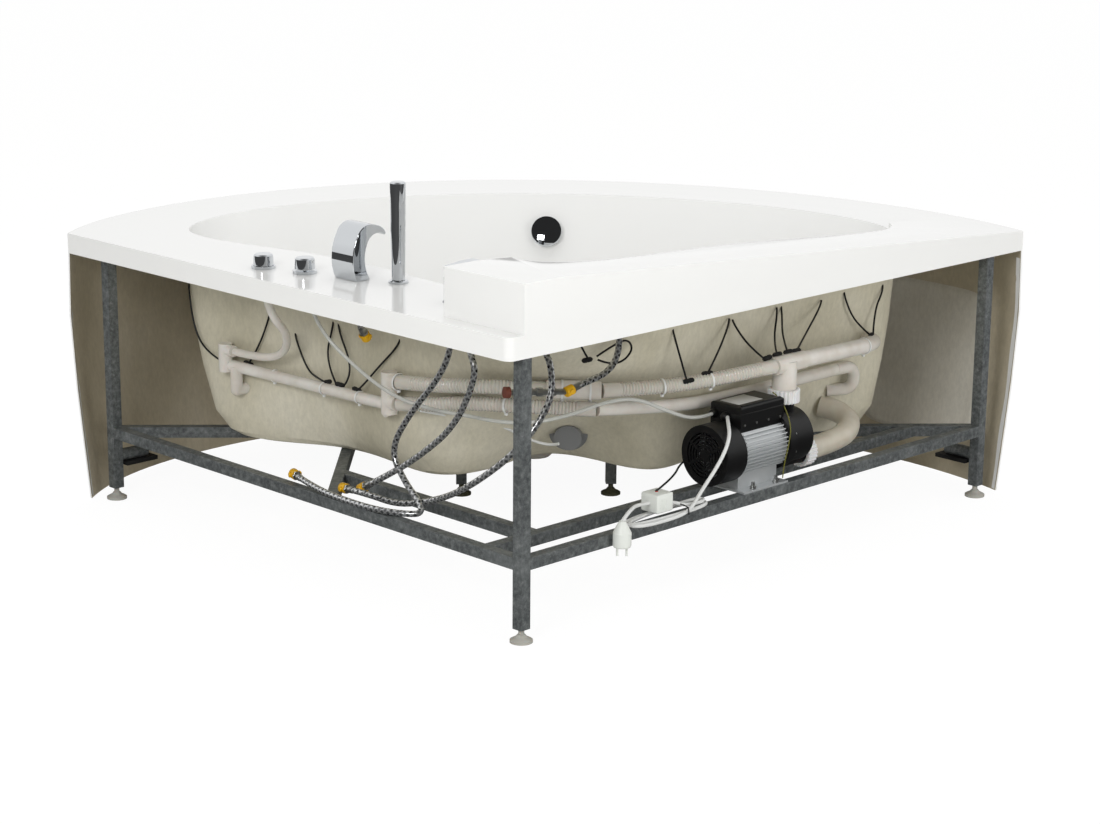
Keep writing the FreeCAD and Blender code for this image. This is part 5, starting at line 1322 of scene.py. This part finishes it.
def make_room(sky):
    """A white room, dimmed for diffuse light, whose side behind the camera is dark in
    reflections, so that the chrome has its contrast."""
    world = bpy.data.worlds.new("white_room")
    world.use_nodes = True
    tree = world.node_tree
    tree.nodes.clear()
    path = add(tree, "ShaderNodeLightPath")
    way = add(tree, "ShaderNodeTexCoord")
    split = add(tree, "ShaderNodeSeparateXYZ", {"Vector": way.outputs["Generated"]})
    behind = add(tree, "ShaderNodeMapRange", {"Value": split.outputs["Y"], "From Min": DARK_FROM,
                                              "From Max": DARK_FULL})
    dark = add(tree, "ShaderNodeMath", {0: behind.outputs["Result"],
                                        1: path.outputs["Is Glossy Ray"]}, operation="MULTIPLY")
    level = add(tree, "ShaderNodeMapRange", {"Value": dark.outputs[0], "To Min": 1.0,
                                             "To Max": DARK_LEVEL})
    dimmed = add(tree, "ShaderNodeMath", {0: path.outputs["Is Diffuse Ray"], 1: 1.0 - sky},
                 operation="MULTIPLY")
    strength = add(tree, "ShaderNodeMath", {0: level.outputs["Result"], 1: dimmed.outputs[0]},
                   operation="SUBTRACT")
    back = add(tree, "ShaderNodeBackground", {"Color": (1, 1, 1, 1),
                                              "Strength": strength.outputs[0]})
    add(tree, "ShaderNodeOutputWorld", {"Surface": back.outputs[0]})
    return world


def make_camera():
    """The camera, as the photograph was taken."""
    data = bpy.data.cameras.new("camera")
    data.sensor_width = 36.0
    data.lens = data.sensor_width * FOCAL_PX / PICTURE_WIDE
    data.clip_start, data.clip_end = 0.1, 100.0
    camera = bpy.data.objects.new("camera", data)
    bpy.context.scene.collection.objects.link(camera)
    stand_at(camera, CAMERA_AT, *camera_axes())
    return camera


class TUB_OT_stage(bpy.types.Operator):
    """Floor, white room, soft lamps and the camera"""

    bl_idname = "tub.stage"
    bl_label = "Stage"

    def execute(self, context):
        scene = context.scene
        light = scene.tub_light
        floor = make_floor()
        scene.world = make_room(light.sky)
        for name, (spot, target, wide, tall, share, mirrored) in LAMPS.items():
            lamp = soft_box(name, spot, target, wide, tall, light.key_power * share)
            lamp.visible_glossy = mirrored
        scene.camera = make_camera()
        scene.view_settings.view_transform = "Standard"
        return {"FINISHED"}


OPERATORS = (TUB_OT_stage, TUB_OT_shell, TUB_OT_mains, TUB_OT_apron, TUB_OT_frame, TUB_OT_taps,
             TUB_OT_waste, TUB_OT_pump, TUB_OT_pipes, TUB_OT_hoses, TUB_OT_supply, TUB_OT_leads)
GROUPS = {"tub_shell": ShellLook, "tub_hoses": HoseSizes, "tub_light": StageLight}


class TUB_PT_pieces(bpy.types.Panel):
    """Lists the bathtub's settings and its pieces"""

    bl_idname = "TUB_PT_pieces"
    bl_label = "Corner bathtub"
    bl_space_type = "VIEW_3D"
    bl_region_type = "UI"
    bl_category = "Bathtub"

    def draw(self, context):
        for name, group in GROUPS.items():
            settings = getattr(context.scene, name)
            for key in group.__annotations__:
                self.layout.prop(settings, key)
        for operator in OPERATORS:
            self.layout.operator(operator.bl_idname)


CLASSES = (*GROUPS.values(), *OPERATORS, TUB_PT_pieces)


def register():
    for item in CLASSES:
        bpy.utils.register_class(item)
    for name, group in GROUPS.items():
        setattr(bpy.types.Scene, name, PointerProperty(type=group))


def unregister():
    for name in GROUPS:
        delattr(bpy.types.Scene, name)
    for item in reversed(CLASSES):
        bpy.utils.unregister_class(item)


def main():
    """Registers the add-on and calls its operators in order."""
    register()
    for operator in OPERATORS:
        family, action = operator.bl_idname.split(".")
        getattr(getattr(bpy.ops, family), action)()
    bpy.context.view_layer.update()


if __name__ == "__main__":
    main()
